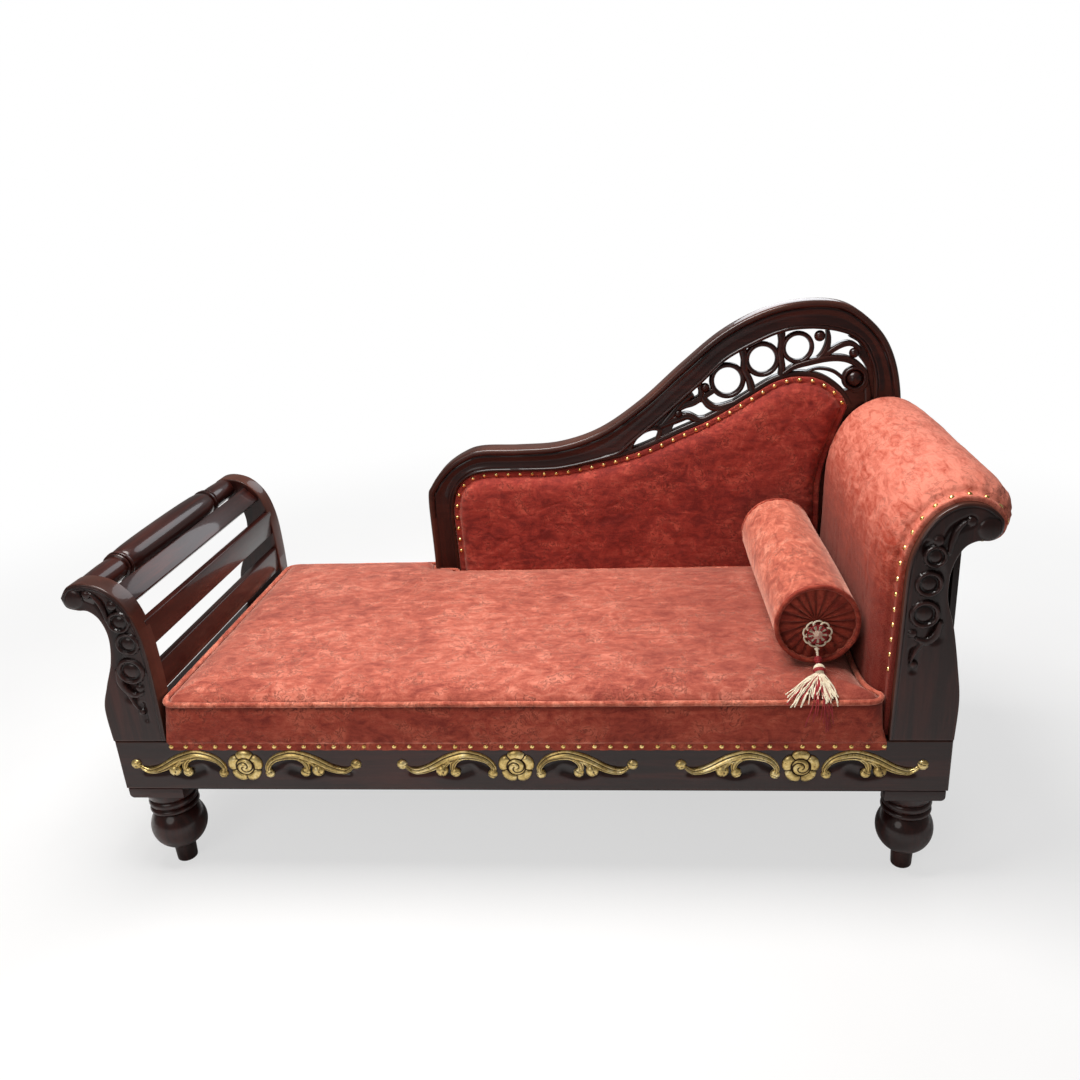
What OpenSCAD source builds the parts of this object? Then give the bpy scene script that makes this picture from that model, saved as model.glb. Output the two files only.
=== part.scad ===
/* [Base frame] */
// Length of the base frame, foot end to head end
rail_len = 1600; // [1450:1:1750]
// Depth of the frame, front face to rear face
frame_depth = 690; // [640:1:760]
// Height of the base rails
rail_h = 109; // [95:1:125]
// Thickness of the rails and of the arm panels
rail_t = 42; // [38:1:48]

/* [Legs] */
// Height of a turned leg under its plinth block
leg_h = 186; // [170:1:210]
// Width of the square plinth block over each leg
plinth_w = 112; // [105:1:124]
// Height of the plinth block
plinth_h = 22; // [18:1:30]
// Radius of the ball on the leg
ball_r = 55; // [50:1:60]
// Radius of the toe at the floor
toe_r = 20; // [16:1:25]

/* [Foot arm] */
// Height of the foot arm over the base rail
foot_arm_h = 336; // [310:1:370]
// Width of the foot arm's scrolled panel
foot_arm_w = 141; // [130:1:155]
// Radius of the turned top rail in its middle
turned_r = 33; // [29:1:36]
// Thickness of the arm's slats
slat_t = 16; // [13:1:18]

/* [Head arm] */
// Height of the head arm over the base rail
head_arm_h = 455; // [430:1:490]
// Width of the head arm's scrolled panel
head_arm_w = 163; // [150:1:175]
// Thickness of the roll's padding
roll_pad_t = 40; // [34:1:43]

/* [Back] */
// Height of the back over the base rail
back_h = 711; // [680:1:760]
// Length of the back
back_len = 1114; // [1060:1:1150]
// How far the back's padding stands out of its board
back_pad_t = 38; // [30:1:42]

/* [Seat] */
// Height of the piping line over the base rail
seat_edge_h = 81; // [70:1:90]
// Rise of the seat's crown over its edge
seat_crown = 32; // [22:1:38]
// Radius of the piping on the seat and bolster
piping_r = 5; // [4:0.5:6]

/* [Bolster] */
// Radius of the bolster
bolster_r = 80; // [70:1:84]
// Clear depth between the bolster's rear end and the back's padding
bolster_gap = 35.4; // [20:0.2:70]

/* [Nails] */
// Radius of a brass nail's head
nail_r = 4.8; // [4:0.1:5.5]
// Spacing of the brass nails
nail_pitch = 29; // [24:1:36]

/* [Hidden] */
$fn = 64;

// Clearances and overruns
fit = 0.2;        // round a tenon or a dowel
soft_gap = 0.3;   // between a soft piece and its neighbour
over = 1;         // past a face in a cut
skin_t = 4;       // cover fabric with its wadding, where it is thin

// Levels
plinth_z = leg_h;
rail_z = plinth_z + plinth_h;
deck_z = rail_z + rail_h;
rail_end = rail_len / 2;
back_y = frame_depth - rail_t;

// Base joinery
tenon_l = 20;
tenon_h = rail_h * 0.6;
tenon_t = rail_t / 3;
corner_w = 70;
corner_h = rail_h * 0.65;
bolt_r = 5;
bolt_grip = 60;       // length of the bolt in the leg
nut_r = 9;
nut_h = 8;
ledger_w = 25;
bearer_t = 18;
bearer_w = 70;
bearer_count = 9;
deck_t = 12;
dust_t = 1;
plinth_round = 9;

// Leg profile
leg_inset = plinth_w / 2;
plinth_margin = 4;    // plinth block's end to the rail's end
neck_r = 46;
neck_h = 22;
ring_h = 20;
collar_h = 12;         // small ring under the large one
ring_r = ball_r - 7;
lip_r = 34;
lip_h = 4;
toe_h = 47;
toe_top_r = toe_r + 2;

// Foot arm
foot_face_x = -692;   // inner face of the foot arm's panels
turned_end_r = turned_r * 0.72;
turned_ring_r = turned_r * 0.92;
turned_ring_w = 8;
turned_tenon_r = 14;
turned_tenon_l = 25;
turned_ring_place_share = 0.32;   // of the clear length, from the middle
slat_w = 56;
slat_gap = 39;
slat_top_w = 44;
slat_top_turn = 134;
slat_house = 12;      // depth of the slat's housing in a panel
slat_reveal = 3;

// Head arm
head_face_x = 684;    // inner face of the head arm's panels
stave_t = 14;
former_t = 18;
outer_board_t = 12;
outer_board_x = head_face_x + head_arm_w * 0.6;
outer_board_top = deck_z + head_arm_h * 0.8;
roll_front = 12;      // pad's front edge from the panel's front

// Back
back_end_x = head_face_x + head_arm_w * 0.8466;
back_x = back_end_x - back_len;
stile_joint_h = back_h * 0.3136;  // left stile's top over the base rail
head_joint_h = back_h * 0.5387;   // right stile's top over the base rail
bottom_rail_h = 35;
bottom_rail_t = 28;
stile_in_share = 0.054;       // left stile's inner edge
head_stile_in_share = 0.945;  // right stile's inner edge
rebate = 6;           // depth of the fretwork's rebate
tongue = 6;           // board's reach into its groove
fret_t = 24;
fret_rim = 22;
fret_front = back_y + 7;
board_t = 8;
board_y = back_y + 20;
rear_panel_t = 1.5;
leaf_w = 15;          // width of a leaf in the fretwork
edge_band = 16;       // flat border of the pad that takes the nails
edge_proud = 16;      // border's height over the board

// Seat
seat_foot_x = -686;
seat_head_x = 672;
seat_head_rear_x = 641;
seat_front_y = -8;
seat_corner = 28;
seat_rear_y = back_y - 19;
border_t = 2;
lap_h = 18;
lap_t = 3;
lap_margin = 4;

// Bolster and tassel
bolster_x = 562;
bolster_y = 85;
bolster_turn = 2.36;
bolster_swell = 1.5;
bolster_len = (board_y - back_pad_t - bolster_gap - bolster_y) / cos(bolster_turn);
bolster_wall = 6;
end_t = 10;
end_recess = 4;
end_dish = 5;
pleats = 16;
pleat_depth = 2;
rosette_r = 26;
rosette_t = 6;
rosette_drop = 18;
rosette_loops = 9;
shank_r = 5;
tassel_x = 561;
bead_r = 8;
head_r = 11;
stem_r = 2.5;
knot_r = 2.8;
tassel_step = 36;     // from the rosette forward to the tassel's head
tassel_front = 21.682;    // reach of the tassel in front of the rail

// Dowels: radius and reach each side of a joint
dowel_r = 5;
dowel_l = 20;

// Carving
carve_t = 7;
boss_t = 5;
gilt_half = 240;
rose_r = 18;
petal_r = 17.5;
rose_t = 8;
rose_z = rail_z + rail_h / 2;

// A smooth curve through points a, b, c and d, from b at 0 to c at 1
function blend_point(a, b, c, d, t) =
    0.5 * (2 * b + (c - a) * t + (2 * a - 5 * b + 4 * c - d) * t * t
    + (3 * b - a - 3 * c + d) * t * t * t);

// A smooth open curve through all points, with steps short runs between two points
function curve(p, steps) = concat([for (i = [0 : len(p) - 2]) for (k = [0 : steps - 1])
    blend_point(p[max(i - 1, 0)], p[i], p[i + 1], p[min(i + 2, len(p) - 1)], k / steps)],
    [p[len(p) - 1]]);

// Points from shares of a width and a height
function placed(shares, x, z, w, h) = [for (s = shares) [x + s[0] * w, z + s[1] * h]];

// Unit vector to the left of the curve's direction at point i
function leftward(c, i) =
    let (d = c[min(i + 1, len(c) - 1)] - c[max(i - 1, 0)]) [-d[1], d[0]] / norm(d);

// The curve moved to its left
function pushed(c, d) = [for (i = [0 : len(c) - 1]) c[i] + leftward(c, i) * d];

function part_of(c, first, last) = [for (i = [first : last]) c[i]];
function reversed(c) = [for (i = [len(c) - 1 : -1 : 0]) c[i]];
function run_length(c, i = 0) = i >= len(c) - 1 ? 0 : norm(c[i + 1] - c[i]) + run_length(c, i + 1);

// Place and direction at a distance along the curve
function station(c, s, i = 0) =
    let (step = norm(c[i + 1] - c[i]))
    s <= step || i >= len(c) - 2
        ? [c[i] + (c[i + 1] - c[i]) * s / step, (c[i + 1] - c[i]) / step]
        : station(c, s - step, i + 1);

function arc(x, y, r, a0, a1, n) =
    [for (k = [0 : n]) [x + r * cos(a0 + (a1 - a0) * k / n), y + r * sin(a0 + (a1 - a0) * k / n)]];

// A band of changing width along a curve, as an outline
function band(c, w) = concat(
    [for (i = [0 : len(c) - 1]) c[i] + leftward(c, i) * w[i] / 2],
    [for (i = [len(c) - 1 : -1 : 0]) c[i] - leftward(c, i) * w[i] / 2]);

// A closed solid through loops of points; each loop turns left seen from the last one
module skin(loops) {
    n = len(loops[0]);
    m = len(loops);
    sides = [for (j = [0 : m - 2]) for (i = [0 : n - 1])
        each [[j * n + i, j * n + n + i, j * n + n + (i + 1) % n],
              [j * n + i, j * n + n + (i + 1) % n, j * n + (i + 1) % n]]];
    first_cap = [for (i = [0 : n - 1]) i];
    last_cap = [for (i = [n - 1 : -1 : 0]) m * n - n + i];
    polyhedron([for (l = loops) each l], concat([first_cap], sides, [last_cap]), convexity = 8);
}

// Stands an outline drawn in X and Z between two depths
module upright(y0, y1) {
    translate([0, y1, 0]) rotate([90, 0, 0]) linear_extrude(y1 - y0) children();
}

module centred() {
    translate([-centre_x, -centre_y, 0]) children();
}

module wood() {
    color([0.17, 0.10, 0.09]) centred() children();
}

module gilt() {
    color([0.72, 0.60, 0.30]) centred() children();
}

module velvet() {
    color([0.68, 0.22, 0.16]) centred() children();
}

module inner_wood() {
    color([0.62, 0.50, 0.36]) centred() children();
}

module foam() {
    color([0.86, 0.82, 0.66]) centred() children();
}

module brass() {
    color([0.85, 0.66, 0.28]) centred() children();
}

// Foot panel outline, from its inner foot over the scroll to its outer foot
foot_shares = [[0.01, 0], [0, 0.24], [0, 0.45], [0.035, 0.682], [0.156, 0.854], [0.376, 0.961],
    [0.645, 1], [0.872, 0.985], [1, 0.917], [0.95, 0.86], [0.81, 0.84], [0.667, 0.833],
    [0.539, 0.777], [0.482, 0.667], [0.539, 0.515], [0.681, 0.36], [0.787, 0.217], [0.78, 0]];
foot_curve = curve(placed(foot_shares, foot_face_x, deck_z, -foot_arm_w, foot_arm_h), 5);

// Head panel outline, in the same order
head_shares = [[0, 0], [0.018, 0.226], [0.037, 0.475], [0.061, 0.73], [0.135, 0.846],
    [0.301, 0.947], [0.54, 1], [0.785, 0.996], [0.975, 0.943], [0.99, 0.888], [0.9, 0.858],
    [0.73, 0.853], [0.601, 0.82], [0.509, 0.736], [0.503, 0.622], [0.595, 0.499],
    [0.675, 0.336], [0.73, 0.182], [0.718, 0]];
head_steps = 3;
head_curve = curve(placed(head_shares, head_face_x, deck_z, head_arm_w, head_arm_h), head_steps);
// The part of the outline that the roll's padding goes round
roll_curve = part_of(head_curve, 1, 11 * head_steps);
roll_points = len(roll_curve);

// Padding's thickness along the outline, drawn in to nothing under the scroll
function roll_taper(i) = let (left = (roll_points - 1 - i) / (3 * head_steps))
    left < 1 ? 0.15 + 0.85 * sqrt(left) : 1;

// Padding's outer surface at a share of its full thickness
function roll_outer(share) = [for (i = [0 : roll_points - 1])
    roll_curve[i] + leftward(roll_curve, i) * roll_pad_t * share * roll_taper(i)];

head_edge = max([for (p = roll_outer(1)) p[0]]);
foot_edge = min([for (p = foot_curve) p[0]]);

// Back outlines as shares of the back's length and height
crest_outer_shares = [[0, 0], [0, 0.2], [0, 0.38], [0.01, 0.428], [0.041, 0.489],
    [0.083, 0.533], [0.125, 0.553], [0.208, 0.553], [0.295, 0.561], [0.382, 0.605],
    [0.469, 0.695], [0.553, 0.809], [0.634, 0.91], [0.714, 0.973], [0.792, 1],
    [0.871, 0.992], [0.926, 0.94], [0.969, 0.857], [0.994, 0.736], [1, 0.58], [0.988, 0.3], [0.98, 0]];
crest_inner_shares = [[stile_in_share, 0], [stile_in_share, 0.2], [0.053, 0.326], [0.063, 0.402], [0.087, 0.449],
    [0.127, 0.471], [0.208, 0.473], [0.289, 0.475], [0.364, 0.497], [0.42, 0.522],
    [0.449, 0.558], [0.506, 0.631], [0.593, 0.747], [0.647, 0.824], [0.72, 0.883],
    [0.765, 0.907], [0.806, 0.913], [0.851, 0.907], [0.89, 0.889], [0.916, 0.858],
    [0.933, 0.809], [0.942, 0.76], [head_stile_in_share, 0.699], [head_stile_in_share, 0.55],
    [head_stile_in_share, 0.3], [head_stile_in_share, 0]];
pad_shares = [[stile_in_share, 0], [stile_in_share, 0.2], [0.053, 0.326], [0.063, 0.402], [0.087, 0.449],
    [0.127, 0.471], [0.208, 0.473], [0.289, 0.473], [0.364, 0.492], [0.458, 0.527],
    [0.542, 0.582], [0.621, 0.636], [0.693, 0.702], [0.747, 0.75], [0.792, 0.764],
    [0.837, 0.751], [0.876, 0.707], [0.893, 0.662]];
pad_side_shares = [[0.862, 0.57], [0.84, 0.475], [0.832, 0.4]];
crest_outer = curve(placed(crest_outer_shares, back_x, deck_z, back_len, back_h), 4);
crest_inner = curve(placed(crest_inner_shares, back_x, deck_z, back_len, back_h), 4);
pad_top = curve(placed(pad_shares, back_x, deck_z, back_len, back_h), 3);
pad_side = placed(pad_side_shares, back_x, deck_z, back_len, back_h);
pad_foot_z = deck_z + bottom_rail_h;
pad_side_x = pad_side[2][0];

// The pad's outline moved in by d, with a level lower edge
function pad_loop(d) =
    let (top = pushed([for (p = pad_top) if (p[1] > pad_foot_z + edge_band) p], -d),
         side = [for (p = pad_side) p - [d, 0]])
    concat(reversed(side), reversed(top),
        [[top[0][0], pad_foot_z + d], [pad_side_x - d, pad_foot_z + d]]);

seat_edge_z = deck_z + seat_edge_h;
seat_top_z = seat_edge_z + seat_crown;
bolster_z = seat_top_z + soft_gap + bolster_r + bolster_swell;

// Tassel, hung from the rosette and lying over the seat's front edge; places in depth and height
hang = [bolster_y - rosette_t * 0.4, bolster_z - rosette_drop - rosette_r - knot_r - soft_gap];
head_at = [hang[0] - tassel_step, seat_top_z + head_r + soft_gap];
fall = (head_at - hang) / norm(head_at - hang);
bead_at = head_at - fall * (head_r + bead_r + soft_gap);

// Skirt's path over the seat's edge, as shares of its reach forward and its drop, and then its
// half width and half thickness as shares of the tassel's spread and bulk
skirt_bulk = 7;
skirt_start = head_at[0] - head_r - skirt_bulk * 0.45;
skirt_reach = skirt_start + tassel_front;
skirt_drop = 100;
skirt_spread = 42;
skirt_shares = [[0, 0, 0.25, 1], [0.33, 0.14, 0.6, 0.9], [0.62, 0.25, 0.85, 0.7],
    [0.86, 0.33, 1, 0.45], [0.9, 0.55, 1, 0.4], [0.9, 0.78, 0.8, 0.4], [0.9, 1, 0.45, 0.3]];
skirt_sides = 8;
skirt_last = len(skirt_shares) - 1;
skirt_path = [for (s = skirt_shares) [skirt_start - s[0] * skirt_reach, head_at[1] - s[1] * skirt_drop]];
skirt_loops = [for (j = [skirt_last : -1 : 0])
    let (d = skirt_path[min(j + 1, skirt_last)] - skirt_path[max(j - 1, 0)],
         side = [-d[1], d[0]] / norm(d))
    [for (k = [0 : skirt_sides - 1])
        let (w = skirt_spread * skirt_shares[j][2] * cos(360 * k / skirt_sides),
             t = skirt_bulk * skirt_shares[j][3] * sin(360 * k / skirt_sides))
        [tassel_x + w, skirt_path[j][0] + side[0] * t, skirt_path[j][1] + side[1] * t]]];

// Overall centre, so the origin stands under the middle of the couch on the floor
centre_x = (head_edge + foot_edge) / 2;
centre_y = (frame_depth + min([for (l = skirt_loops) for (p = l) p[1]])) / 2;

// Rail and panel joints that a pair of dowels holds: place in X, depth, height
foot_dowel_share = 0.25;
dowel_sites = [for (y = [rail_t / 2, back_y + rail_t / 2]) for (s = [foot_dowel_share, 0.55])
        [foot_face_x - foot_arm_w * s, y, deck_z],
    for (s = [0.15, 0.55]) [head_face_x + head_arm_w * s, rail_t / 2, deck_z],
    for (s = [0.014, 0.036, 0.96, 0.9715])
        [back_x + back_len * s, back_y + rail_t / 2, deck_z],
    for (s = [0.014, 0.04]) [back_x + back_len * s, back_y + rail_t / 2, deck_z + stile_joint_h],
    for (s = [0.96, 0.984]) [back_x + back_len * s, back_y + rail_t / 2, deck_z + head_joint_h]];

module dowel_holes() {
    for (p = dowel_sites) translate(p - [0, 0, dowel_l + fit])
        cylinder(r = dowel_r + fit / 2, h = 2 * dowel_l + 2 * fit);
}

leg_places = [for (y = [leg_inset, frame_depth - leg_inset]) for (side = [-1, 1])
    [side * (rail_end - plinth_margin - leg_inset), y]];

module at_legs() {
    for (p = leg_places) translate([p[0], p[1], 0]) children();
}

// Base rails with mortises for the end rails' tenons
module long_rail(y, inner_y) {
    difference() {
        translate([-rail_end, y, rail_z]) cube([rail_len, rail_t, rail_h]);
        for (side = [-1, 1])
            translate([side * (rail_end - rail_t / 2) - tenon_t / 2 - fit,
                inner_y - tenon_l - fit, deck_z - rail_h / 2 - tenon_h / 2 - fit])
                cube([tenon_t + 2 * fit, 2 * tenon_l + 2 * fit, tenon_h + 2 * fit]);
        dowel_holes();
    }
}

module front_rail() {
    wood() long_rail(0, rail_t);
}

module back_rail() {
    wood() long_rail(back_y, back_y);
}

module end_rail(side) {
    wood() translate([side * (rail_end - rail_t / 2), 0, 0]) {
        translate([-rail_t / 2, rail_t, rail_z]) cube([rail_t, back_y - rail_t, rail_h]);
        translate([-tenon_t / 2, rail_t - tenon_l, rail_z + rail_h / 2 - tenon_h / 2])
            cube([tenon_t, back_y - rail_t + 2 * tenon_l, tenon_h]);
    }
}

module end_rail_foot() {
    end_rail(-1);
}

module end_rail_head() {
    end_rail(1);
}

module corner_blocks() {
    inner_wood() difference() {
        for (side = [-1, 1]) for (y = [rail_t, back_y - corner_w])
            translate([side * (rail_end - rail_t - corner_w / 2) - corner_w / 2, y, rail_z])
                cube([corner_w, corner_w, corner_h]);
        at_legs() translate([0, 0, rail_z - over])
            cylinder(r = bolt_r + fit, h = corner_h + 2 * over);
    }
}

// Square block between rail and leg, its outer lower edge rounded
module plinth_blocks() {
    wood() difference() {
        for (side = [-1, 1]) for (y = [0, frame_depth - plinth_w])
            translate([side * (rail_end - plinth_margin - leg_inset), 0, 0]) mirror([side < 0 ? 1 : 0, 0, 0])
                upright(y, y + plinth_w) polygon(concat(
                    [[-leg_inset, rail_z], [-leg_inset, plinth_z]],
                    arc(leg_inset - plinth_round, plinth_z + plinth_round, plinth_round, -90, 0, 8),
                    [[leg_inset, rail_z]]));
        at_legs() translate([0, 0, plinth_z - over])
            cylinder(r = bolt_r + fit, h = plinth_h + 2 * over);
    }
}

ball_z = toe_h + sqrt(ball_r * ball_r - lip_r * lip_r);
ring_z = plinth_z - neck_h - ring_h - collar_h;
ball_top_a = asin(min(1, (ring_z - ball_z) / ball_r));
ball_low_a = -acos(lip_r / ball_r);

module leg(place) {
    wood() translate([leg_places[place][0], leg_places[place][1], 0]) difference() {
        rotate_extrude() polygon(concat([[0, 0], [toe_r, 0], [toe_top_r, toe_h], [lip_r, toe_h]],
            arc(0, ball_z, ball_r, ball_low_a, ball_top_a, 20),
            arc(ring_r - collar_h / 2, ring_z + collar_h / 2, collar_h / 2, -70, 70, 8),
            arc(ring_r - ring_h / 2, ring_z + collar_h + ring_h / 2, ring_h / 2, -70, 70, 10),
            [[neck_r, plinth_z - neck_h], [leg_inset - lip_h, plinth_z - lip_h],
                [leg_inset - lip_h, plinth_z], [0, plinth_z]]));
        translate([0, 0, plinth_z - bolt_grip - fit]) cylinder(r = bolt_r + fit / 2, h = bolt_grip + 2 * fit);
    }
}

module leg_front_foot() {
    leg(0);
}

module leg_front_head() {
    leg(1);
}

module leg_back_foot() {
    leg(2);
}

module leg_back_head() {
    leg(3);
}

// Hanger bolt up through plinth and corner block, with its nut
module leg_bolts() {
    brass() at_legs() {
        translate([0, 0, plinth_z - bolt_grip]) cylinder(r = bolt_r, h = bolt_grip + plinth_h + corner_h + nut_h);
        translate([0, 0, rail_z + corner_h]) cylinder(r = nut_r, h = nut_h, $fn = 6);
    }
}

ledger_z = deck_z - deck_t - bearer_t - ledger_w;
ledger_half = rail_end - rail_t - corner_w;
bay_l = back_y - rail_t;

module ledger_strips() {
    inner_wood() for (y = [rail_t, back_y - ledger_w])
        translate([-ledger_half, y, ledger_z]) cube([2 * ledger_half, ledger_w, ledger_w]);
}

module seat_slats() {
    inner_wood() for (i = [0 : bearer_count - 1])
        translate([-ledger_half + i * (2 * ledger_half - bearer_w) / (bearer_count - 1),
            rail_t, ledger_z + ledger_w])
            cube([bearer_w, bay_l, bearer_t]);
}

module seat_deck() {
    inner_wood() translate([-rail_end + rail_t, rail_t, deck_z - deck_t])
        cube([rail_len - 2 * rail_t, bay_l, deck_t]);
}

// Black cloth tacked under the rails, cut away round the plinth blocks
module dust_cover() {
    color([0.08, 0.08, 0.08]) centred() difference() {
        translate([-rail_end + over, over, rail_z - dust_t])
            cube([rail_len - 2 * over, frame_depth - 2 * over, dust_t]);
        at_legs() translate([-leg_inset - over, -leg_inset - over, rail_z - dust_t - over])
            cube([plinth_w + 2 * over, plinth_w + 2 * over, dust_t + 2 * over]);
    }
}

// Seat outline drawn d nearer its middle: full depth at the foot end, notched round the back
seat_arc = 5;
// How the head side draws in beside the roll, as shares of the step and of the corner
head_side_shares = [[0.45, 1.55], [0.75, 2.2], [0.92, 3.2], [1, 4.8]];
function seat_outline(d) =
    let (x0 = seat_foot_x + d, xf = seat_head_x - d, xr = seat_head_rear_x - d,
         y0 = seat_front_y + d, yb = seat_rear_y - d, ye = frame_depth - d, r = seat_corner,
         stile_x = back_x + back_len * stile_in_share - d)
    concat(arc(x0 + r, y0 + r, r, 180, 270, seat_arc), arc(xf - r, y0 + r, r, -90, 0, seat_arc),
        [for (s = head_side_shares) [xf + s[0] * (xr - xf), y0 + s[1] * r]],
        arc(xr - r, yb - r, r, 0, 90, seat_arc),
        [[stile_x, yb], [stile_x - r / 8, back_y - soft_gap - d],
         [back_x - soft_gap - d, back_y - soft_gap - d], [back_x - soft_gap - d, ye]],
        arc(x0 + r, ye - r, r, 90, 180, seat_arc));

// A closed loop moved in by the same distance all round
function inside(c, d) = let (n = len(c)) [for (i = [0 : n - 1])
    let (a = c[i] - c[(i + n - 1) % n], b = c[(i + 1) % n] - c[i], s = a / norm(a) + b / norm(b))
    c[i] + [-s[1], s[0]] * 2 * d / (s * s)];

// Rings of the seat: square to the edge as far as the piping's ledge, then drawn to the middle
seat_ledge = 2 * piping_r + soft_gap;
function seat_ring(d) = inside(seat_outline(0), min(d, seat_ledge))
    + (seat_outline(max(d, seat_ledge)) - seat_outline(seat_ledge));

function level(ring, z) = [for (p = ring) [p[0], p[1], z]];

foam_inset = 6;
// Inset and rise of the crown, as shares of the crown's reach and height
crown_shares = [[0.04, 0.38], [0.2, 0.68], [0.5, 0.9], [1, 1]];
crown_reach = 90;

module seat_foam() {
    foam() translate([0, 0, deck_z]) linear_extrude(seat_edge_h - skin_t - fit)
        polygon(seat_ring(foam_inset + fit));
}

module seat_cover() {
    velvet() skin(concat(
        [level(seat_ring(foam_inset), seat_edge_z - skin_t), level(seat_ring(foam_inset), deck_z),
         level(seat_ring(0), deck_z), level(seat_ring(0), seat_edge_z),
         level(seat_ring(seat_ledge), seat_edge_z)],
        [for (s = crown_shares) level(seat_ring(seat_ledge + s[0] * crown_reach),
            seat_edge_z + s[1] * seat_crown)]));
}

// Front border of the seat, folded onto the rail's face as the lap that the nails hold
module seat_border() {
    x0 = foot_face_x + lap_margin;
    x1 = head_face_x - lap_margin;
    bulge = border_t + lap_t;
    velvet() translate([x0, 0, 0]) rotate([90, 0, 90]) linear_extrude(x1 - x0) polygon([
        [0, deck_z - lap_h], [-lap_t, deck_z - lap_h], [-lap_t, deck_z - 1.25 * lap_t],
        [seat_front_y - border_t, deck_z - lap_t / 3], [seat_front_y - bulge, deck_z + seat_edge_h / 2],
        [seat_front_y - border_t, seat_edge_z - lap_t], [seat_front_y, seat_edge_z],
        [seat_front_y, deck_z], [0, deck_z]]);
}

// A closed tube along a flat loop of points
module loop_tube(path, z, r) {
    sides = 6;
    n = len(path);
    rings = [for (i = [0 : n - 1])
        let (t = path[(i + 1) % n] - path[(i + n - 1) % n], side = [t[1], -t[0]] / norm(t))
        [for (k = [0 : sides - 1])
            [path[i][0] + side[0] * r * cos(60 * k), path[i][1] + side[1] * r * cos(60 * k),
             z + r * sin(60 * k)]]];
    faces = [for (j = [0 : n - 1]) for (i = [0 : sides - 1])
        let (a = j * sides + i, b = j * sides + (i + 1) % sides,
             c = ((j + 1) % n) * sides + i, e = ((j + 1) % n) * sides + (i + 1) % sides)
        each [[a, b, e], [a, e, c]]];
    polyhedron([for (l = rings) each l], faces, convexity = 8);
}

module seat_piping() {
    velvet() loop_tube(seat_ring(piping_r), seat_edge_z + piping_r * sin(60), piping_r);
}

// Domed brass nail, its flat side at the origin and its dome along +Z
nail_h = nail_r * 0.65;
nail_ball_r = (nail_r * nail_r + nail_h * nail_h) / (2 * nail_h);
module nail() {
    a = asin(nail_r / nail_ball_r);
    rotate_extrude($fn = 24)
        polygon(concat([[0, 0]], arc(0, nail_h - nail_ball_r, nail_ball_r, 90 - a, 90, 5)));
}

module seat_nails() {
    x0 = foot_face_x + 2 * lap_margin;
    x1 = head_face_x - 2 * lap_margin;
    count = floor((x1 - x0) / nail_pitch);
    brass() for (i = [0 : count])
        translate([x0 + i * (x1 - x0) / count, -lap_t, deck_z - lap_h / 2]) rotate([90, 0, 0]) nail();
}

// One half of the gilded carving: shares of its half length and of the rail's height
main_scroll_shares = [[0.91, 0.03], [0.88, -0.03], [0.8, -0.11], [0.71, -0.05], [0.57, 0.11], [0.467, 0.19],
    [0.39, 0.22], [0.29, 0.18], [0.225, 0.1], [0.178, -0.02], [0.182, -0.11]];
inner_scroll_shares = [[0.47, 0.17], [0.515, 0.08], [0.52, -0.02], [0.5, -0.1]];
leaf_stem_shares = [[0.54, 0.11], [0.575, 0.03], [0.6, -0.06]];
// Place and radius of the balls that end the scrolls
ball_shares = [[0.925, 0.04, 0.0375], [0.195, -0.155, 0.035], [0.495, -0.13, 0.0375],
    [0.604, -0.09, 0.05]];
scroll_w = 18;

module scroll(shares, wide) {
    c = curve(placed(shares, 0, 0, gilt_half, rail_h), 5);
    n = len(c) - 1;
    polygon(band(c, [for (i = [0 : n]) wide * (0.45 + 0.55 * sin(180 * i / n))]));
}

module gilt_half_carving() {
    linear_extrude(carve_t) scroll(main_scroll_shares, scroll_w);
    linear_extrude(carve_t) scroll(inner_scroll_shares, scroll_w * 0.6);
    linear_extrude(carve_t) scroll(leaf_stem_shares, scroll_w * 0.6);
    for (b = ball_shares) translate([b[0] * gilt_half, b[1] * rail_h, 0])
        cylinder(r = b[2] * gilt_half, h = carve_t, $fn = 32);
}

// Outline of five petals round the rose
rose_edge = [for (a = [0 : 6 : 354])
    let (r = rose_r + petal_r * (0.68 + 0.32 * pow(abs(cos(2.5 * (a - 18))), 0.6))) [r * cos(a), r * sin(a)]];

// A rose between two mirrored scrolls
module gilt_carving(x) {
    gilt() translate([x, 0, rose_z]) rotate([90, 0, 0]) {
        gilt_half_carving();
        mirror([1, 0, 0]) gilt_half_carving();
        linear_extrude(carve_t) polygon(rose_edge);
        cylinder(r = rose_r, h = rose_t, $fn = 48);
    }
}

gilt_pitch = 535;
gilt_middle_x = -8;

module gilt_carving_foot() {
    gilt_carving(gilt_middle_x - gilt_pitch);
}

module gilt_carving_middle() {
    gilt_carving(gilt_middle_x);
}

module gilt_carving_head() {
    gilt_carving(gilt_middle_x + gilt_pitch);
}

// Foot arm slats: outline of each slat's section in X and Z
slat_face_x = foot_face_x - slat_reveal;
function upright_slat(x, z) = [[x, z], [x, z + slat_w], [x - slat_t, z + slat_w], [x - slat_t, z]];
slat_base = upright_slat(slat_face_x, deck_z);
slat_lower = upright_slat(slat_face_x, deck_z + slat_w + slat_gap);
slat_upper = upright_slat(slat_face_x - 2 * slat_reveal, deck_z + 2 * slat_w + 2 * slat_gap);
// The tilted top slat follows the scroll's shoulder
slat_top_corner = [foot_face_x - foot_arm_w * 0.193, deck_z + foot_arm_h * 0.837];
slat_top = [for (p = [[0, 0], [slat_top_w, 0], [slat_top_w, slat_t], [0, slat_t]])
    slat_top_corner + [p[0] * cos(slat_top_turn) - p[1] * sin(slat_top_turn),
        p[0] * sin(slat_top_turn) + p[1] * cos(slat_top_turn)]];

module foot_slat(section) {
    wood() upright(rail_t - slat_house, back_y + slat_house) polygon(section);
}

module foot_slat_top() {
    foot_slat(slat_top);
}

module foot_slat_upper() {
    foot_slat(slat_upper);
}

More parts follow.
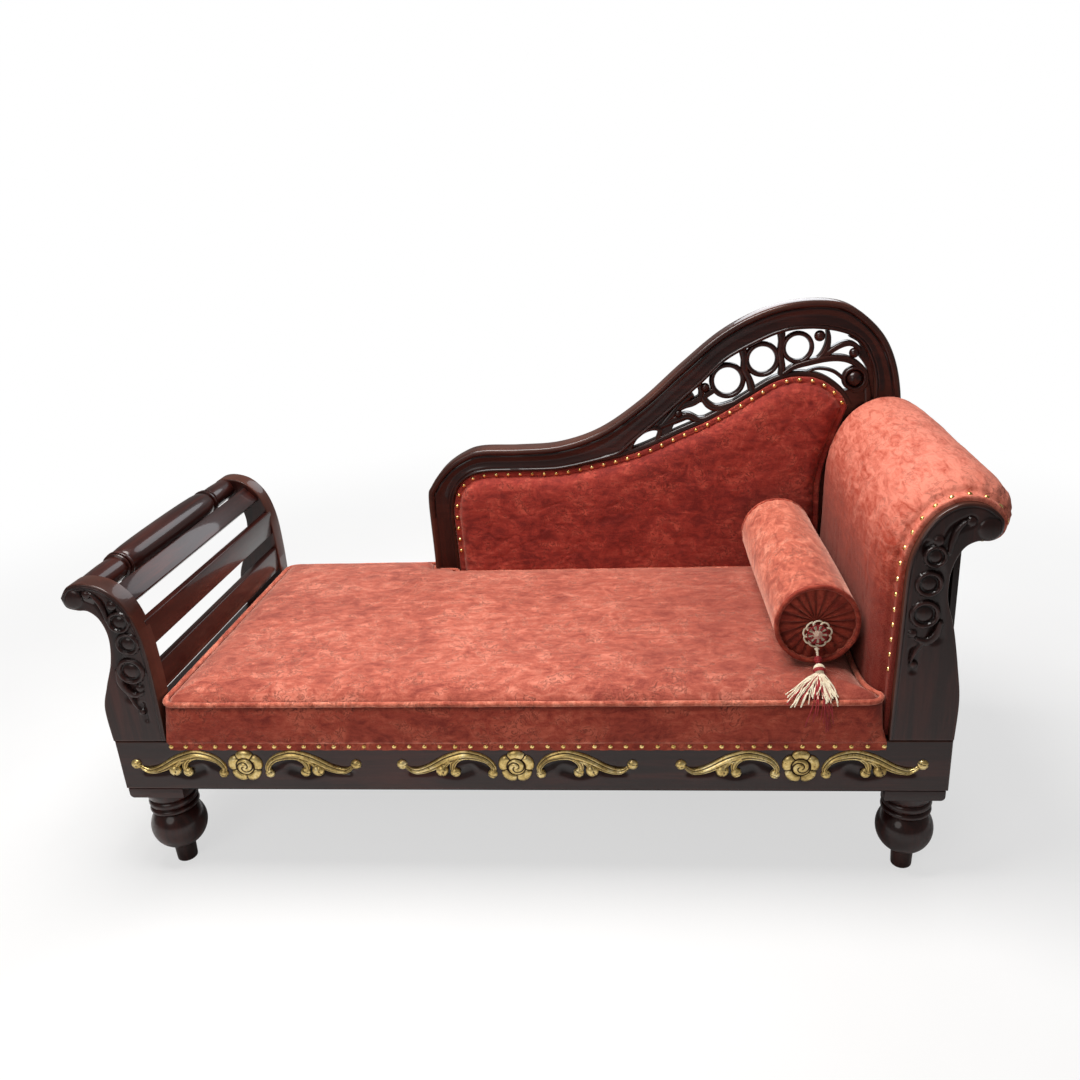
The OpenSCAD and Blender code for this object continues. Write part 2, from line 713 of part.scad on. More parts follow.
module foot_slat_lower() {
    foot_slat(slat_lower);
}

module foot_slat_base() {
    foot_slat(slat_base);
}

turned_x = foot_face_x - foot_arm_w * 0.766;
turned_z = deck_z + foot_arm_h * 0.925;
turned_mid_y = (rail_t + back_y) / 2;
turned_half = (back_y - rail_t) / 2;
turned_ring_y = 2 * turned_half * turned_ring_place_share;

// Turned rail along the scroll's top: slim ends, two beads and a swelling middle
module foot_turned_rail() {
    half = [[0, 0], [turned_r, 0], [turned_r * 0.985, turned_ring_y / 2],
        [turned_r * 0.93, turned_ring_y - 2 * turned_ring_w],
        [turned_end_r, turned_ring_y - turned_ring_w / 2]];
    bead = arc(turned_ring_r - turned_ring_w / 2, turned_ring_y, turned_ring_w / 2, -90, 90, 8);
    tail = [[turned_end_r, turned_ring_y + turned_ring_w], [turned_end_r, turned_half],
        [turned_tenon_r, turned_half], [turned_tenon_r, turned_half + turned_tenon_l],
        [0, turned_half + turned_tenon_l]];
    wood() translate([turned_x, turned_mid_y, turned_z]) for (a = [-90, 90])
        rotate([a, 0, 0]) rotate_extrude() polygon(concat(half, bead, tail));
}

// Grows a section for its housing
module housing(section, y0, y1) {
    c = (section[0] + section[2]) / 2;
    upright(y0, y1) polygon([for (p = section)
        p + [sign(p[0] - c[0]), sign(p[1] - c[1])] * fit]);
}

module arm_housings(y0, y1) {
    for (s = [slat_top, slat_upper, slat_lower, slat_base]) housing(s, y0, y1);
}

module foot_panel(y0) {
    inner_y0 = y0 == 0 ? rail_t - slat_house - fit : y0 - over;
    inner_y1 = y0 == 0 ? rail_t + over : y0 + slat_house + fit;
    wood() difference() {
        union() {
            upright(y0, y0 + rail_t) polygon(foot_curve);
            children();
        }
        arm_housings(inner_y0, inner_y1);
        translate([turned_x, y0 == 0 ? rail_t - turned_tenon_l - fit : y0 - over, turned_z])
            rotate([-90, 0, 0]) cylinder(r = turned_tenon_r + fit / 2, h = turned_tenon_l + fit + over);
        dowel_holes();
    }
}

// Carved ring on the face of an arm panel
module boss(x, z, r) {
    translate([x, 0, z]) rotate([90, 0, 0]) difference() {
        cylinder(r = r, h = boss_t, $fn = 40);
        translate([0, 0, boss_t / 2]) cylinder(r = r * 0.72, h = boss_t, $fn = 40);
    }
}

// Carved bud on the face of an arm panel
module bud(x, z, r) {
    translate([x, 0, z]) rotate([90, 0, 0]) cylinder(r = r, h = boss_t, $fn = 32);
}

// Place across and up the panel, and radius, as shares of its width and height
foot_ring_shares = [[0.277, 0.768, 0.163], [0.23, 0.634, 0.17], [0.27, 0.464, 0.197]];
foot_bud_shares = [[0.835, 0.92, 0.17], [0.62, 0.932, 0.064], [0.31, 0.87, 0.071],
    [0.2, 0.345, 0.078], [0.25, 0.2, 0.071]];
head_ring_shares = [[0.34, 0.795, 0.125], [0.285, 0.69, 0.142], [0.265, 0.567, 0.152]];
head_bud_shares = [[0.87, 0.9, 0.135], [0.66, 0.934, 0.055], [0.34, 0.862, 0.061],
    [0.16, 0.484, 0.055], [0.2, 0.35, 0.067]];

module foot_panel_front() {
    foot_panel(0) {
        for (s = foot_ring_shares)
            boss(foot_face_x - foot_arm_w * s[0], deck_z + foot_arm_h * s[1], foot_arm_w * s[2]);
        for (s = foot_bud_shares)
            bud(foot_face_x - foot_arm_w * s[0], deck_z + foot_arm_h * s[1], foot_arm_w * s[2]);
    }
}

module foot_panel_back() {
    foot_panel(back_y);
}

module head_panel_front() {
    wood() difference() {
        union() {
            upright(0, rail_t) polygon(head_curve);
            for (s = head_ring_shares)
                boss(head_face_x + head_arm_w * s[0], deck_z + head_arm_h * s[1], head_arm_w * s[2]);
            for (s = head_bud_shares)
                bud(head_face_x + head_arm_w * s[0], deck_z + head_arm_h * s[1], head_arm_w * s[2]);
        }
        dowel_holes();
    }
}

// Plain panel of the same outline that the roll's far end is built on
module head_rear_former() {
    inner_wood() upright(back_y - former_t, back_y) polygon(head_curve);
}

// Staves from panel to former, their outer faces on the scroll's outline
stave_count = 7;
stave_line = pushed(part_of(head_curve, 2, 9 * head_steps), -fit);
module head_staves() {
    n = len(stave_line) - 1;
    per = floor(n / stave_count);
    inner_wood() for (i = [0 : stave_count - 1]) {
        c = part_of(stave_line, i * per, i * per + per - 1);
        upright(rail_t, back_y - former_t) polygon(concat(c, reversed(pushed(c, -stave_t))));
    }
}

module head_outer_board() {
    wood() translate([outer_board_x, rail_t, deck_z])
        cube([outer_board_t, back_y - former_t - rail_t, outer_board_top - deck_z]);
}

// Roll padding from front to rear: depth behind its front edge and share of full thickness
roll_len = back_y - soft_gap - roll_front;
roll_lap = 15.3;      // flat lap that takes the nails
roll_rise = 93;       // depth in which the padding swells to its full thickness
roll_lap_share = 0.225;
roll_profile = [[0, roll_lap_share], [roll_lap, roll_lap_share], [roll_lap + roll_rise * 0.08, 0.52],
    [roll_lap + roll_rise * 0.25, 0.76], [roll_lap + roll_rise * 0.52, 0.92],
    [roll_lap + roll_rise, 1], [roll_len * 0.5, 1], [roll_len * 0.83, 1],
    [roll_len * 0.95, 0.98], [roll_len, 0.94]];
function roll_y(s) = roll_front + s;

// One slice across the padding between an inner and an outer share of its thickness
function roll_slice(y, inner, outer) = [for (p = concat(reversed(roll_outer(outer)), inner)) [p[0], y, p[1]]];

module head_cover() {
    base = pushed(roll_curve, fit);
    velvet() skin([for (s = reversed(roll_profile))
        roll_slice(roll_y(s[0]), s[1] < 0.5 ? base : roll_outer(s[1] - skin_t / roll_pad_t), s[1])]);
}

// Filling in lengths laid round the scroll, each with its far end drawn back for a butt joint
foam_lengths = 8;
foam_joint = 0.03;
function shortened(c) = let (n = len(c) - 1)
    [for (i = [0 : n]) i < n ? c[i] : c[i] + (c[i - 1] - c[i]) * foam_joint];
function foam_slice(y, inner, outer, cut) = [for (p =
    concat(reversed(cut ? shortened(outer) : outer), cut ? shortened(inner) : inner)) [p[0], y, p[1]]];

module head_foam() {
    base = pushed(roll_curve, fit);
    per = (roll_points - 1) / foam_lengths;
    foam() for (i = [0 : foam_lengths - 1])
        skin([for (s = reversed(roll_profile)) if (s[1] > 0.6)
            foam_slice(roll_y(s[0]), part_of(base, i * per, i * per + per),
                part_of(roll_outer(s[1] - (skin_t + soft_gap) / roll_pad_t), i * per, i * per + per),
                i < foam_lengths - 1)]);
}

module head_nails() {
    line = roll_outer(roll_lap_share + fit / roll_pad_t);
    total = run_length(line);
    count = floor(total / nail_pitch);
    start = seat_edge_h + seat_crown;
    brass() for (i = [0 : count - 1]) {
        at = station(line, i * total / count + nail_pitch / 2);
        if (at[0][1] > deck_z + start || at[0][0] > head_face_x + head_arm_w / 2)
            translate([at[0][0], roll_front + nail_r * 2, at[0][1]])
                rotate([0, atan2(-at[1][1], at[1][0]), 0]) nail();
    }
}

// Groove round the back's board, in stiles, crest rail, bottom rail and fretwork
module board_groove() {
    upright(board_y - fit, board_y + board_t + fit) polygon(pad_loop(-tongue - fit));
}

// Back frame: one outline cut into two stiles and a crest rail, rebated for the fretwork
module back_outline() {
    difference() {
        upright(back_y, frame_depth) polygon(concat(crest_outer, reversed(crest_inner)));
        fret_region(rebate + fit, fret_front, frame_depth + over);
        board_groove();
    }
}

module back_region(x0, x1, z0, z1) {
    translate([x0, back_y - over, z0]) cube([x1 - x0, rail_t + 2 * over, z1 - z0]);
}

back_mid_x = back_x + back_len / 2;

module back_left_stile() {
    wood() difference() {
        intersection() {
            back_outline();
            back_region(back_x - rail_t, back_mid_x, deck_z, deck_z + stile_joint_h);
        }
        dowel_holes();
        bottom_rail_bar(fit);
    }
}

module back_right_stile() {
    wood() difference() {
        intersection() {
            back_outline();
            back_region(back_mid_x, back_end_x + rail_t, deck_z, deck_z + head_joint_h);
        }
        dowel_holes();
        bottom_rail_bar(fit);
    }
}

module back_crest_rail() {
    wood() difference() {
        back_outline();
        back_region(back_x - rail_t, back_mid_x, deck_z - over, deck_z + stile_joint_h);
        back_region(back_mid_x, back_end_x + rail_t, deck_z - over, deck_z + head_joint_h);
        dowel_holes();
    }
}

// Bottom rail between the stiles, its ends housed in them
bottom_house = 8;
bottom_x0 = back_x + back_len * stile_in_share;
bottom_x1 = back_x + back_len * head_stile_in_share;
bottom_y = back_y + (rail_t - bottom_rail_t) / 2;
module bottom_rail_bar(grow) {
    translate([bottom_x0 - bottom_house - grow, bottom_y - grow, deck_z])
        cube([bottom_x1 - bottom_x0 + 2 * bottom_house + 2 * grow, bottom_rail_t + 2 * grow,
            bottom_rail_h + grow]);
}

module back_bottom_rail() {
    wood() difference() {
        bottom_rail_bar(0);
        board_groove();
    }
}

// Pierced panel between crest rail and pad: rim, rings, scrolls and a solid side
// Rings: place, outer radius and bore, as shares of the back's length and height
ring_shares = [[0.649, 0.755, 0.059, 0.0422], [0.719, 0.82, 0.0577, 0.0408],
    [0.79, 0.854, 0.0534, 0.038]];
volute_share = [0.904, 0.742];
volute_share_r = 0.0464;
leaf_shares = [[0.82, 0.79], [0.842, 0.83], [0.85, 0.9]];
frond_shares = [[0.835, 0.8], [0.86, 0.84], [0.9, 0.855]];
band_shares = [[0.776, 0.785], [0.81, 0.802], [0.85, 0.816], [0.885, 0.812], [0.92, 0.79]];
small_scroll_shares = [[0.52, 0.61], [0.548, 0.645], [0.6, 0.7], [0.615, 0.735]];
eye_share = [0.478, 0.563];
eye_w = 31;
eye_h = 15;
eye_turn = -40;
fret_start = 0.39;    // share of the length where the fretwork begins
web_reach = 0.545;    // share of the length where the solid web round the eye ends

function back_point(s) = [back_x + s[0] * back_len, deck_z + s[1] * back_h];

module fret_band(shares, wide) {
    c = curve(placed(shares, back_x, deck_z, back_len, back_h), 5);
    upright(fret_front, fret_front + fret_t) polygon(band(c, [for (p = c) wide]));
}

module fret_disc(at, r) {
    translate([at[0], fret_front, at[1]]) rotate([-90, 0, 0]) cylinder(r = r, h = fret_t + 2 * over);
}

module back_fretwork() {
    rim = [for (p = pushed(pad_top, fret_rim)) if (p[1] > pad_foot_z) p];
    web_x = back_x + back_len * web_reach;
    side_x = back_x + back_len * pad_shares[16][0];
    side_top = deck_z + back_h * pad_shares[16][1];
    wood() difference() {
        intersection() {
            fret_region(rebate, fret_front, fret_front + fret_t);
            union() {
                upright(fret_front, fret_front + fret_t) polygon(concat(rim,
                    [[rim[len(rim) - 1][0], pad_foot_z], [rim[0][0], pad_foot_z]]));
                back_fret_plate(web_x - back_len * 0.16, web_x, deck_z + back_h * 0.4, deck_z + back_h * 0.61);
                back_fret_plate(side_x - fret_rim, back_end_x, pad_foot_z, side_top + fret_rim);
                for (s = ring_shares) fret_disc(back_point(s), back_h * s[2]);
                fret_disc(back_point(volute_share), back_h * volute_share_r);
                fret_band(leaf_shares, leaf_w);
                fret_band(frond_shares, leaf_w);
                fret_band(band_shares, fret_rim);
                fret_band(small_scroll_shares, leaf_w);
            }
        }
        upright(fret_front - over, frame_depth + over) polygon(pad_loop(0));
        board_groove();
        for (s = ring_shares) translate([0, -over, 0]) fret_disc(back_point(s), back_h * s[3]);
        translate([back_point(eye_share)[0], frame_depth, back_point(eye_share)[1]])
            rotate([90, eye_turn, 0]) linear_extrude(rail_t)
                polygon(concat(arc(0, -eye_h, eye_w, 30, 150, 10), arc(0, eye_h, eye_w, 210, 330, 10)));
    }
}

// Region of the fretwork behind the crest rail's and right stile's inner edge
module fret_region(reach, y0, y1) {
    line = pushed(crest_inner, reach);
    intersection() {
        upright(y0, y1) polygon(concat([for (p = line) if (p[1] > pad_foot_z) p],
            [[line[len(line) - 1][0], pad_foot_z], [line[0][0], pad_foot_z]]));
        back_region(back_x + back_len * fret_start - reach + rebate, back_end_x, pad_foot_z, deck_z + back_h);
    }
}

module back_fret_plate(x0, x1, z0, z1) {
    translate([x0, fret_front, z0]) cube([x1 - x0, fret_t, z1 - z0]);
}

module back_board() {
    inner_wood() upright(board_y, board_y + board_t) polygon(pad_loop(-tongue));
}

module back_rear_panel() {
    velvet() upright(board_y + board_t, board_y + board_t + rear_panel_t) polygon(pad_loop(soft_gap));
}

// Loops of the back's cover: height over the board and inset
function pad_level(d, h) = [for (p = pad_loop(d)) [p[0], board_y - h, p[1]]];
pad_rise = back_pad_t - edge_proud;
back_crown_shares = [[0.1, 0.3], [0.35, 0.62], [1, 1]];
back_crown_reach = 30;

module back_foam() {
    foam() upright(board_y - edge_proud + skin_t + fit, board_y) polygon(pad_loop(soft_gap + skin_t + fit));
}

module back_cover() {
    edge = soft_gap;
    velvet() difference() {
        skin(concat(
            [pad_level(edge, 0), pad_level(edge, edge_proud), pad_level(edge_band, edge_proud)],
            [for (s = back_crown_shares)
                pad_level(edge_band + s[0] * back_crown_reach, edge_proud + s[1] * pad_rise)]));
        upright(board_y - edge_proud + skin_t, board_y + over) polygon(pad_loop(edge + skin_t));
    }
}

module back_nails() {
    line = pushed([for (p = pad_top) if (p[1] > deck_z + seat_edge_h + seat_crown) p], -edge_band / 2);
    total = run_length(line);
    count = floor(total / nail_pitch);
    brass() for (i = [0 : count - 1]) {
        at = station(line, (i + 0.5) * total / count);
        translate([at[0][0], board_y - edge_proud, at[0][1]]) rotate([90, 0, 0]) nail();
    }
}

module frame_dowels() {
    inner_wood() for (p = dowel_sites) translate(p - [0, 0, dowel_l])
        cylinder(r = dowel_r, h = 2 * dowel_l, $fn = 32);
}

// Bolster, built along its own axis from its front end
cover_l = bolster_len - 4 * piping_r;
piping_ring_r = bolster_r - piping_r;

module on_bolster() {
    translate([bolster_x, bolster_y, bolster_z]) rotate([-90, 0, bolster_turn]) children();
}

module bolster_core() {
    foam() on_bolster() translate([0, 0, 2 * piping_r + end_t + end_recess])
        cylinder(r = bolster_r - bolster_wall - fit, h = cover_l - 2 * (end_t + end_recess));
}

module bolster_cover() {
    inner_r = bolster_r - bolster_wall;
    velvet() on_bolster() translate([0, 0, 2 * piping_r]) rotate_extrude()
        polygon(concat([[inner_r, cover_l], [inner_r, 0]],
            [for (k = [0 : 10]) [bolster_r + bolster_swell * sin(18 * k), cover_l * k / 10]]));
}

module bolster_piping(z) {
    velvet() on_bolster() translate([0, 0, z]) rotate_extrude()
        translate([piping_ring_r, 0, 0]) circle(r = piping_r, $fn = 24);
}

module bolster_piping_front() {
    bolster_piping(piping_r);
}

module bolster_piping_rear() {
    bolster_piping(bolster_len - piping_r);
}

// Gathered round end: pleats run in to a dished centre
module gathered_end() {
    n = 4 * pleats;
    r0 = bolster_r - bolster_wall - fit;
    // Radius share and dish share of each loop on the pleated face
    face_shares = [[1, 0], [0.8, 0.1], [0.55, 0.45], [0.3, 0.85], [0.12, 1]];
    velvet() skin(concat(
        [[for (k = [0 : n - 1]) [r0 * 0.12 * cos(360 * k / n), r0 * 0.12 * sin(360 * k / n), 0]],
         [for (k = [0 : n - 1]) [r0 * cos(360 * k / n), r0 * sin(360 * k / n), 0]]],
        [for (s = face_shares) [for (k = [0 : n - 1])
            [r0 * s[0] * cos(360 * k / n), r0 * s[0] * sin(360 * k / n),
             end_t - end_dish * s[1] - pleat_depth * (s[0] < 1 ? 1 + cos(360 * k * pleats / n) : 0) / 2]]]));
}

module bolster_end_front() {
    on_bolster_end() gathered_end();
}

module bolster_end_rear() {
    on_bolster_rear() gathered_end();
}

module on_bolster_end() {
    centred() on_bolster() translate([0, 0, 2 * piping_r + end_recess + end_t]) mirror([0, 0, 1])
        uncentred() children();
}

module on_bolster_rear() {
    centred() on_bolster() translate([0, 0, bolster_len - 2 * piping_r - end_recess - end_t])
        uncentred() children();
}

module uncentred() {
    translate([centre_x, centre_y, 0]) children();
}

// Rosette of cord loops, sewn low on the bolster's front end by its shank
module bolster_rosette() {
    shank_l = 2 * piping_r + end_recess + end_dish;
    turn = 10;
    loops = [for (a = [0 : turn : 359])
        let (r = rosette_r * (0.9 + 0.1 * cos(rosette_loops * a))) [r * cos(a), r * sin(a)]];
    color([0.93, 0.88, 0.78]) centred() on_bolster() translate([0, rosette_drop, -rosette_t]) {
        cylinder(r = shank_r, h = rosette_t + shank_l);
        cylinder(r = rosette_r * 0.42, h = rosette_t);
        translate([0, 0, rosette_t * 0.35]) linear_extrude(rosette_t * 0.5) polygon(loops);
    }
}

// Cord from a knot under the rosette, on which the tassel swings, down to the bead
module tassel_stem() {
    len_in = norm(bead_at - hang) - bead_r - soft_gap;
    color([0.93, 0.88, 0.78]) centred() translate([tassel_x, hang[0], hang[1]]) {
        rotate([atan2(-fall[0], fall[1]), 0, 0]) cylinder(r = stem_r, h = len_in);
        rotate([0, 90, 0]) cylinder(r = knot_r, h = 3 * knot_r, center = true);
    }
}

module tassel_bead() {
    color([0.55, 0.08, 0.09]) centred() translate([tassel_x, bead_at[0], bead_at[1]]) sphere(r = bead_r);
}

module tassel_head() {
    color([0.93, 0.88, 0.78]) centred() translate([tassel_x, head_at[0], head_at[1]]) sphere(r = head_r);
}

module tassel_skirt() {
    color([0.93, 0.88, 0.78]) centred() skin(skirt_loops);
}

front_rail();
back_rail();
end_rail_foot();
end_rail_head();
corner_blocks();
plinth_blocks();
leg_front_foot();
leg_front_head();
leg_back_foot();
leg_back_head();
leg_bolts();
ledger_strips();
seat_slats();
seat_deck();
dust_cover();
seat_foam();
seat_cover();
seat_border();
seat_piping();
seat_nails();
gilt_carving_foot();
gilt_carving_middle();
gilt_carving_head();
foot_panel_front();
foot_panel_back();
foot_slat_top();
foot_slat_upper();
foot_slat_lower();
foot_slat_base();
foot_turned_rail();
head_panel_front();
head_rear_former();
head_staves();
head_outer_board();
head_foam();
head_cover();
head_nails();
back_left_stile();
back_right_stile();
back_bottom_rail();
back_crest_rail();
back_fretwork();
back_board();
back_foam();
back_cover();
back_nails();
back_rear_panel();
frame_dowels();
bolster_core();
bolster_cover();
bolster_end_front();
bolster_end_rear();
bolster_piping_front();
bolster_piping_rear();
bolster_rosette();
tassel_stem();
tassel_bead();
tassel_head();
tassel_skirt();
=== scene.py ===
# %% [markdown]
# # A fainting couch
# The couch is a dark lacquered frame with gilded carving, padded with crushed velvet: a seat on
# turned legs, a slatted foot arm, a scrolled head arm with a padded roll, and a back that climbs
# from the foot to the head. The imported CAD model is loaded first, because it fixes every size and
# place, and each piece made here is fitted to it.

# %% Load the frame
import itertools
import math

import bpy
import numpy as np
from mathutils import Matrix


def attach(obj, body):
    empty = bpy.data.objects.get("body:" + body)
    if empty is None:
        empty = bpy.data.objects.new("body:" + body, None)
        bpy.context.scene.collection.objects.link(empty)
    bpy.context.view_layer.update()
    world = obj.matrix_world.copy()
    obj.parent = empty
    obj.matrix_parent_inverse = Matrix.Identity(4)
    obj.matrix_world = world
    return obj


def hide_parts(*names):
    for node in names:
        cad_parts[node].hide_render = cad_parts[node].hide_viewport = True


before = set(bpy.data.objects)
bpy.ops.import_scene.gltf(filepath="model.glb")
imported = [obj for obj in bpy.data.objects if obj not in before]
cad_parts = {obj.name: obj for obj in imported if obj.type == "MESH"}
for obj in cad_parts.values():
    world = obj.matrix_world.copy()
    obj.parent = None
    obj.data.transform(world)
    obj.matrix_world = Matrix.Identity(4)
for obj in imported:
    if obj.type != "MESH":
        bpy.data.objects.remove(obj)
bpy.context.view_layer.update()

# %% [markdown]
# Sizes are written as a maker would say them: millimetres, with X along the couch from foot to
# head, Y from the front rail's face to the rear, and Z up from the floor. The model's origin is
# under the middle of the couch, so one function moves a point there and turns it into metres.

# %% Places in millimetres
CENTRE = np.array([25.1032, 335.465, 0.0])
MM = 0.001
RAIL_Z, DECK_Z = 208.0, 317.0
DEPTH, RAIL_T, RAIL_END = 690.0, 42.0, 800.0
BACK_Y = DEPTH - RAIL_T


def metres(points):
    """Points in the maker's millimetres as metres in the model's frame."""
    return (np.asarray(points, float) - CENTRE) * MM


def curve(points, steps):
    """A smooth line through the points, with that many steps between each two."""
    p = np.asarray(points, float)
    a, b, c, d = p[[0, *range(len(p) - 2)]], p[:-1], p[1:], p[[*range(2, len(p)), len(p) - 1]]
    t = (np.arange(steps) / steps)[None, :, None]
    a, b, c, d = (q[:, None, :] for q in (a, b, c, d))
    line = 0.5 * (2 * b + (c - a) * t + (2 * a - 5 * b + 4 * c - d) * t ** 2
                  + (3 * b - a - 3 * c + d) * t ** 3)
    return np.vstack([line.reshape(-1, p.shape[1]), p[-1]])


def placed(shares, x, z, width, height):
    return np.array([x, z]) + np.asarray(shares, float)[:, :2] * [width, height]


def resampled(line, at):
    """Points of a line at shares of its length."""
    line = np.asarray(line, float)
    run = np.concatenate([[0], np.cumsum(np.linalg.norm(np.diff(line, axis=0), axis=1))])
    return np.stack([np.interp(np.asarray(at) * run[-1], run, line[:, k])
                     for k in range(line.shape[1])], axis=-1)


def run_length(line):
    return np.linalg.norm(np.diff(line, axis=0), axis=1).sum()


def leftward(line):
    """Unit vectors to the left of a flat line at each of its points."""
    step = np.vstack([line[1:], line[-1:]]) - np.vstack([line[:1], line[:-1]])
    return np.stack([-step[:, 1], step[:, 0]], axis=1) / np.linalg.norm(step, axis=1)[:, None]


def pushed(line, d):
    return line + leftward(line) * d


print("seat deck at", metres([0, 0, DECK_Z]).round(4))

# %% [markdown]
# Every piece starts as one of Blender's primitives, put there with an operator and shaped in edit
# mode. The helpers below are the moves that are made again and again: start clean, work on one
# object, read and set its points, close its seams, and hand it over to a body of the frame.

# %% Moves used on every piece
def deselect():
    if bpy.context.object and bpy.context.object.mode != "OBJECT":
        bpy.ops.object.mode_set(mode="OBJECT")
    bpy.ops.object.select_all(action="DESELECT")


def only(piece):
    deselect()
    piece.select_set(True)
    bpy.context.view_layer.objects.active = piece


def edit(piece, mode="VERT", chosen="SELECT"):
    only(piece)
    bpy.ops.object.mode_set(mode="EDIT")
    bpy.ops.mesh.select_mode(type=mode)
    bpy.ops.mesh.select_all(action=chosen)


def object_mode():
    bpy.ops.object.mode_set(mode="OBJECT")


def named(name):
    piece = bpy.context.object
    piece.name = piece.data.name = name
    bpy.ops.object.transform_apply(location=True, rotation=True, scale=True)
    return piece


def sphere(name, radius, segments=24, rings=14):
    deselect()
    bpy.ops.mesh.primitive_uv_sphere_add(segments=segments, ring_count=rings, radius=radius)
    return named(name)


def points_of(piece):
    flat = np.empty(len(piece.data.vertices) * 3, np.float32)
    piece.data.vertices.foreach_get("co", flat)
    return flat.reshape(-1, 3).astype(float)


def set_points(piece, points):
    piece.data.vertices.foreach_set("co", np.asarray(points, np.float32).ravel())
    piece.data.update()


def shaped(piece, x, y, z):
    """Puts the points of a piece at places in the maker's millimetres."""
    set_points(piece, metres(np.column_stack(np.broadcast_arrays(x, y, z))))


def choose(elements, chosen):
    """Selects the elements for which chosen is true, in object mode."""
    flags = np.zeros(len(elements), bool)
    flags[:] = chosen
    elements.foreach_set("select", flags)


def cleaned(piece, gap=0.01 * MM):
    """Merges the points on seams and poles and turns all faces outwards."""
    edit(piece)
    bpy.ops.mesh.remove_doubles(threshold=gap)
    bpy.ops.mesh.select_all(action="SELECT")
    bpy.ops.mesh.normals_make_consistent(inside=False)
    object_mode()
    return piece


def filled(piece):
    """Closes every open edge loop with a face."""
    edit(piece, "EDGE", "DESELECT")
    bpy.ops.mesh.select_non_manifold(extend=False, use_wire=False, use_multi_face=False,
                                     use_non_contiguous=False, use_verts=False)
    bpy.ops.mesh.fill_holes(sides=0)
    object_mode()
    return cleaned(piece)


def joined(name, pieces):
    deselect()
    for piece in pieces:
        piece.select_set(True)
    bpy.context.view_layer.objects.active = pieces[0]
    bpy.ops.object.join()
    pieces[0].name = pieces[0].data.name = name
    return pieces[0]


def copied(piece, name, shift):
    """A copy with its own mesh, moved by millimetres."""
    twin = piece.copy()
    twin.data = piece.data.copy()
    twin.name = twin.data.name = name
    bpy.context.collection.objects.link(twin)
    set_points(twin, points_of(twin) + np.asarray(shift, float) * MM)
    return twin


def modified(piece, kind, **settings):
    only(piece)
    modifier = piece.modifiers.new(kind.title(), kind)
    for key, value in settings.items():
        setattr(modifier, key, value)
    bpy.ops.object.modifier_apply(modifier=modifier.name)
    return piece


def smoothed(piece, degrees=40):
    only(piece)
    bpy.ops.object.shade_smooth_by_angle(angle=math.radians(degrees))


def handed_over(piece, finish, body, slot, *nodes, way="made", degrees=40):
    """Gives a finished piece its material and its place in the frame; way says how it was made."""
    smoothed(piece, degrees)
    if nodes:
        piece.name = piece.data.name = f"{nodes[0]}_{way}"
    piece.data.materials.clear()
    piece.data.materials.append(finish)
    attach(piece, body)
    if nodes:
        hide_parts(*nodes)
    print(piece.name, len(piece.data.polygons), "faces")
    return piece


def wooden(piece, finish, node, way, degrees=40):
    """Hands over a piece of the dark frame."""
    return handed_over(piece, finish, "frame", "dark_wood", node, way=way, degrees=degrees)


def of_yarn(piece, finish, body, node, way):
    """Hands over a piece of cord or yarn."""
    return handed_over(piece, finish, body, "tassel_yarn", node, way=way, degrees=60)


# %% [markdown]
# Carved and padded faces start as a flat grid whose two directions run from 0 to 1, and each point
# is then moved to its place. A closed run of the grid becomes a tube, and a grid between four
# edge lines becomes a panel.

# %% Grids, tubes and patches
def grid(name, across, along):
    deselect()
    bpy.ops.mesh.primitive_grid_add(x_subdivisions=across, y_subdivisions=along, size=1,
                                    location=(0.5, 0.5, 0))
    piece = named(name)
    p = points_of(piece)
    return piece, p[:, 0], p[:, 1]


def crowded(t, how_much=0.75):
    """Shares from 0 to 1 that crowd towards both ends."""
    return t + how_much * (0.5 - 0.5 * np.cos(math.pi * t) - t)


def patch(bottom, top, left, right, u, v):
    """Points inside four edge lines: bottom and top run with u, left and right with v."""
    b, t, l, r = resampled(bottom, u), resampled(top, u), resampled(left, v), resampled(right, v)
    u, v = u[:, None], v[:, None]
    corners = ((1 - u) * (1 - v) * bottom[0] + u * (1 - v) * bottom[-1]
               + (1 - u) * v * top[0] + u * v * top[-1])
    return (1 - v) * b + v * t + (1 - u) * l + u * r - corners


def frames_along(path, closed=False):
    """Direction, side and up vectors at each point of a path."""
    if closed:
        step = np.roll(path, -1, 0) - np.roll(path, 1, 0)
    else:
        step = np.vstack([path[1:], path[-1:]]) - np.vstack([path[:1], path[:-1]])
    step /= np.linalg.norm(step, axis=1)[:, None]
    side = np.zeros_like(path)
    last = np.cross(step[0], [0, 0, 1.0])
    if np.linalg.norm(last) < 0.2:
        last = np.cross(step[0], [0, 1.0, 0])
    for k, d in enumerate(step):
        last = last - d * last.dot(d)
        last /= np.linalg.norm(last)
        side[k] = last
    return step, side, np.cross(side, step)


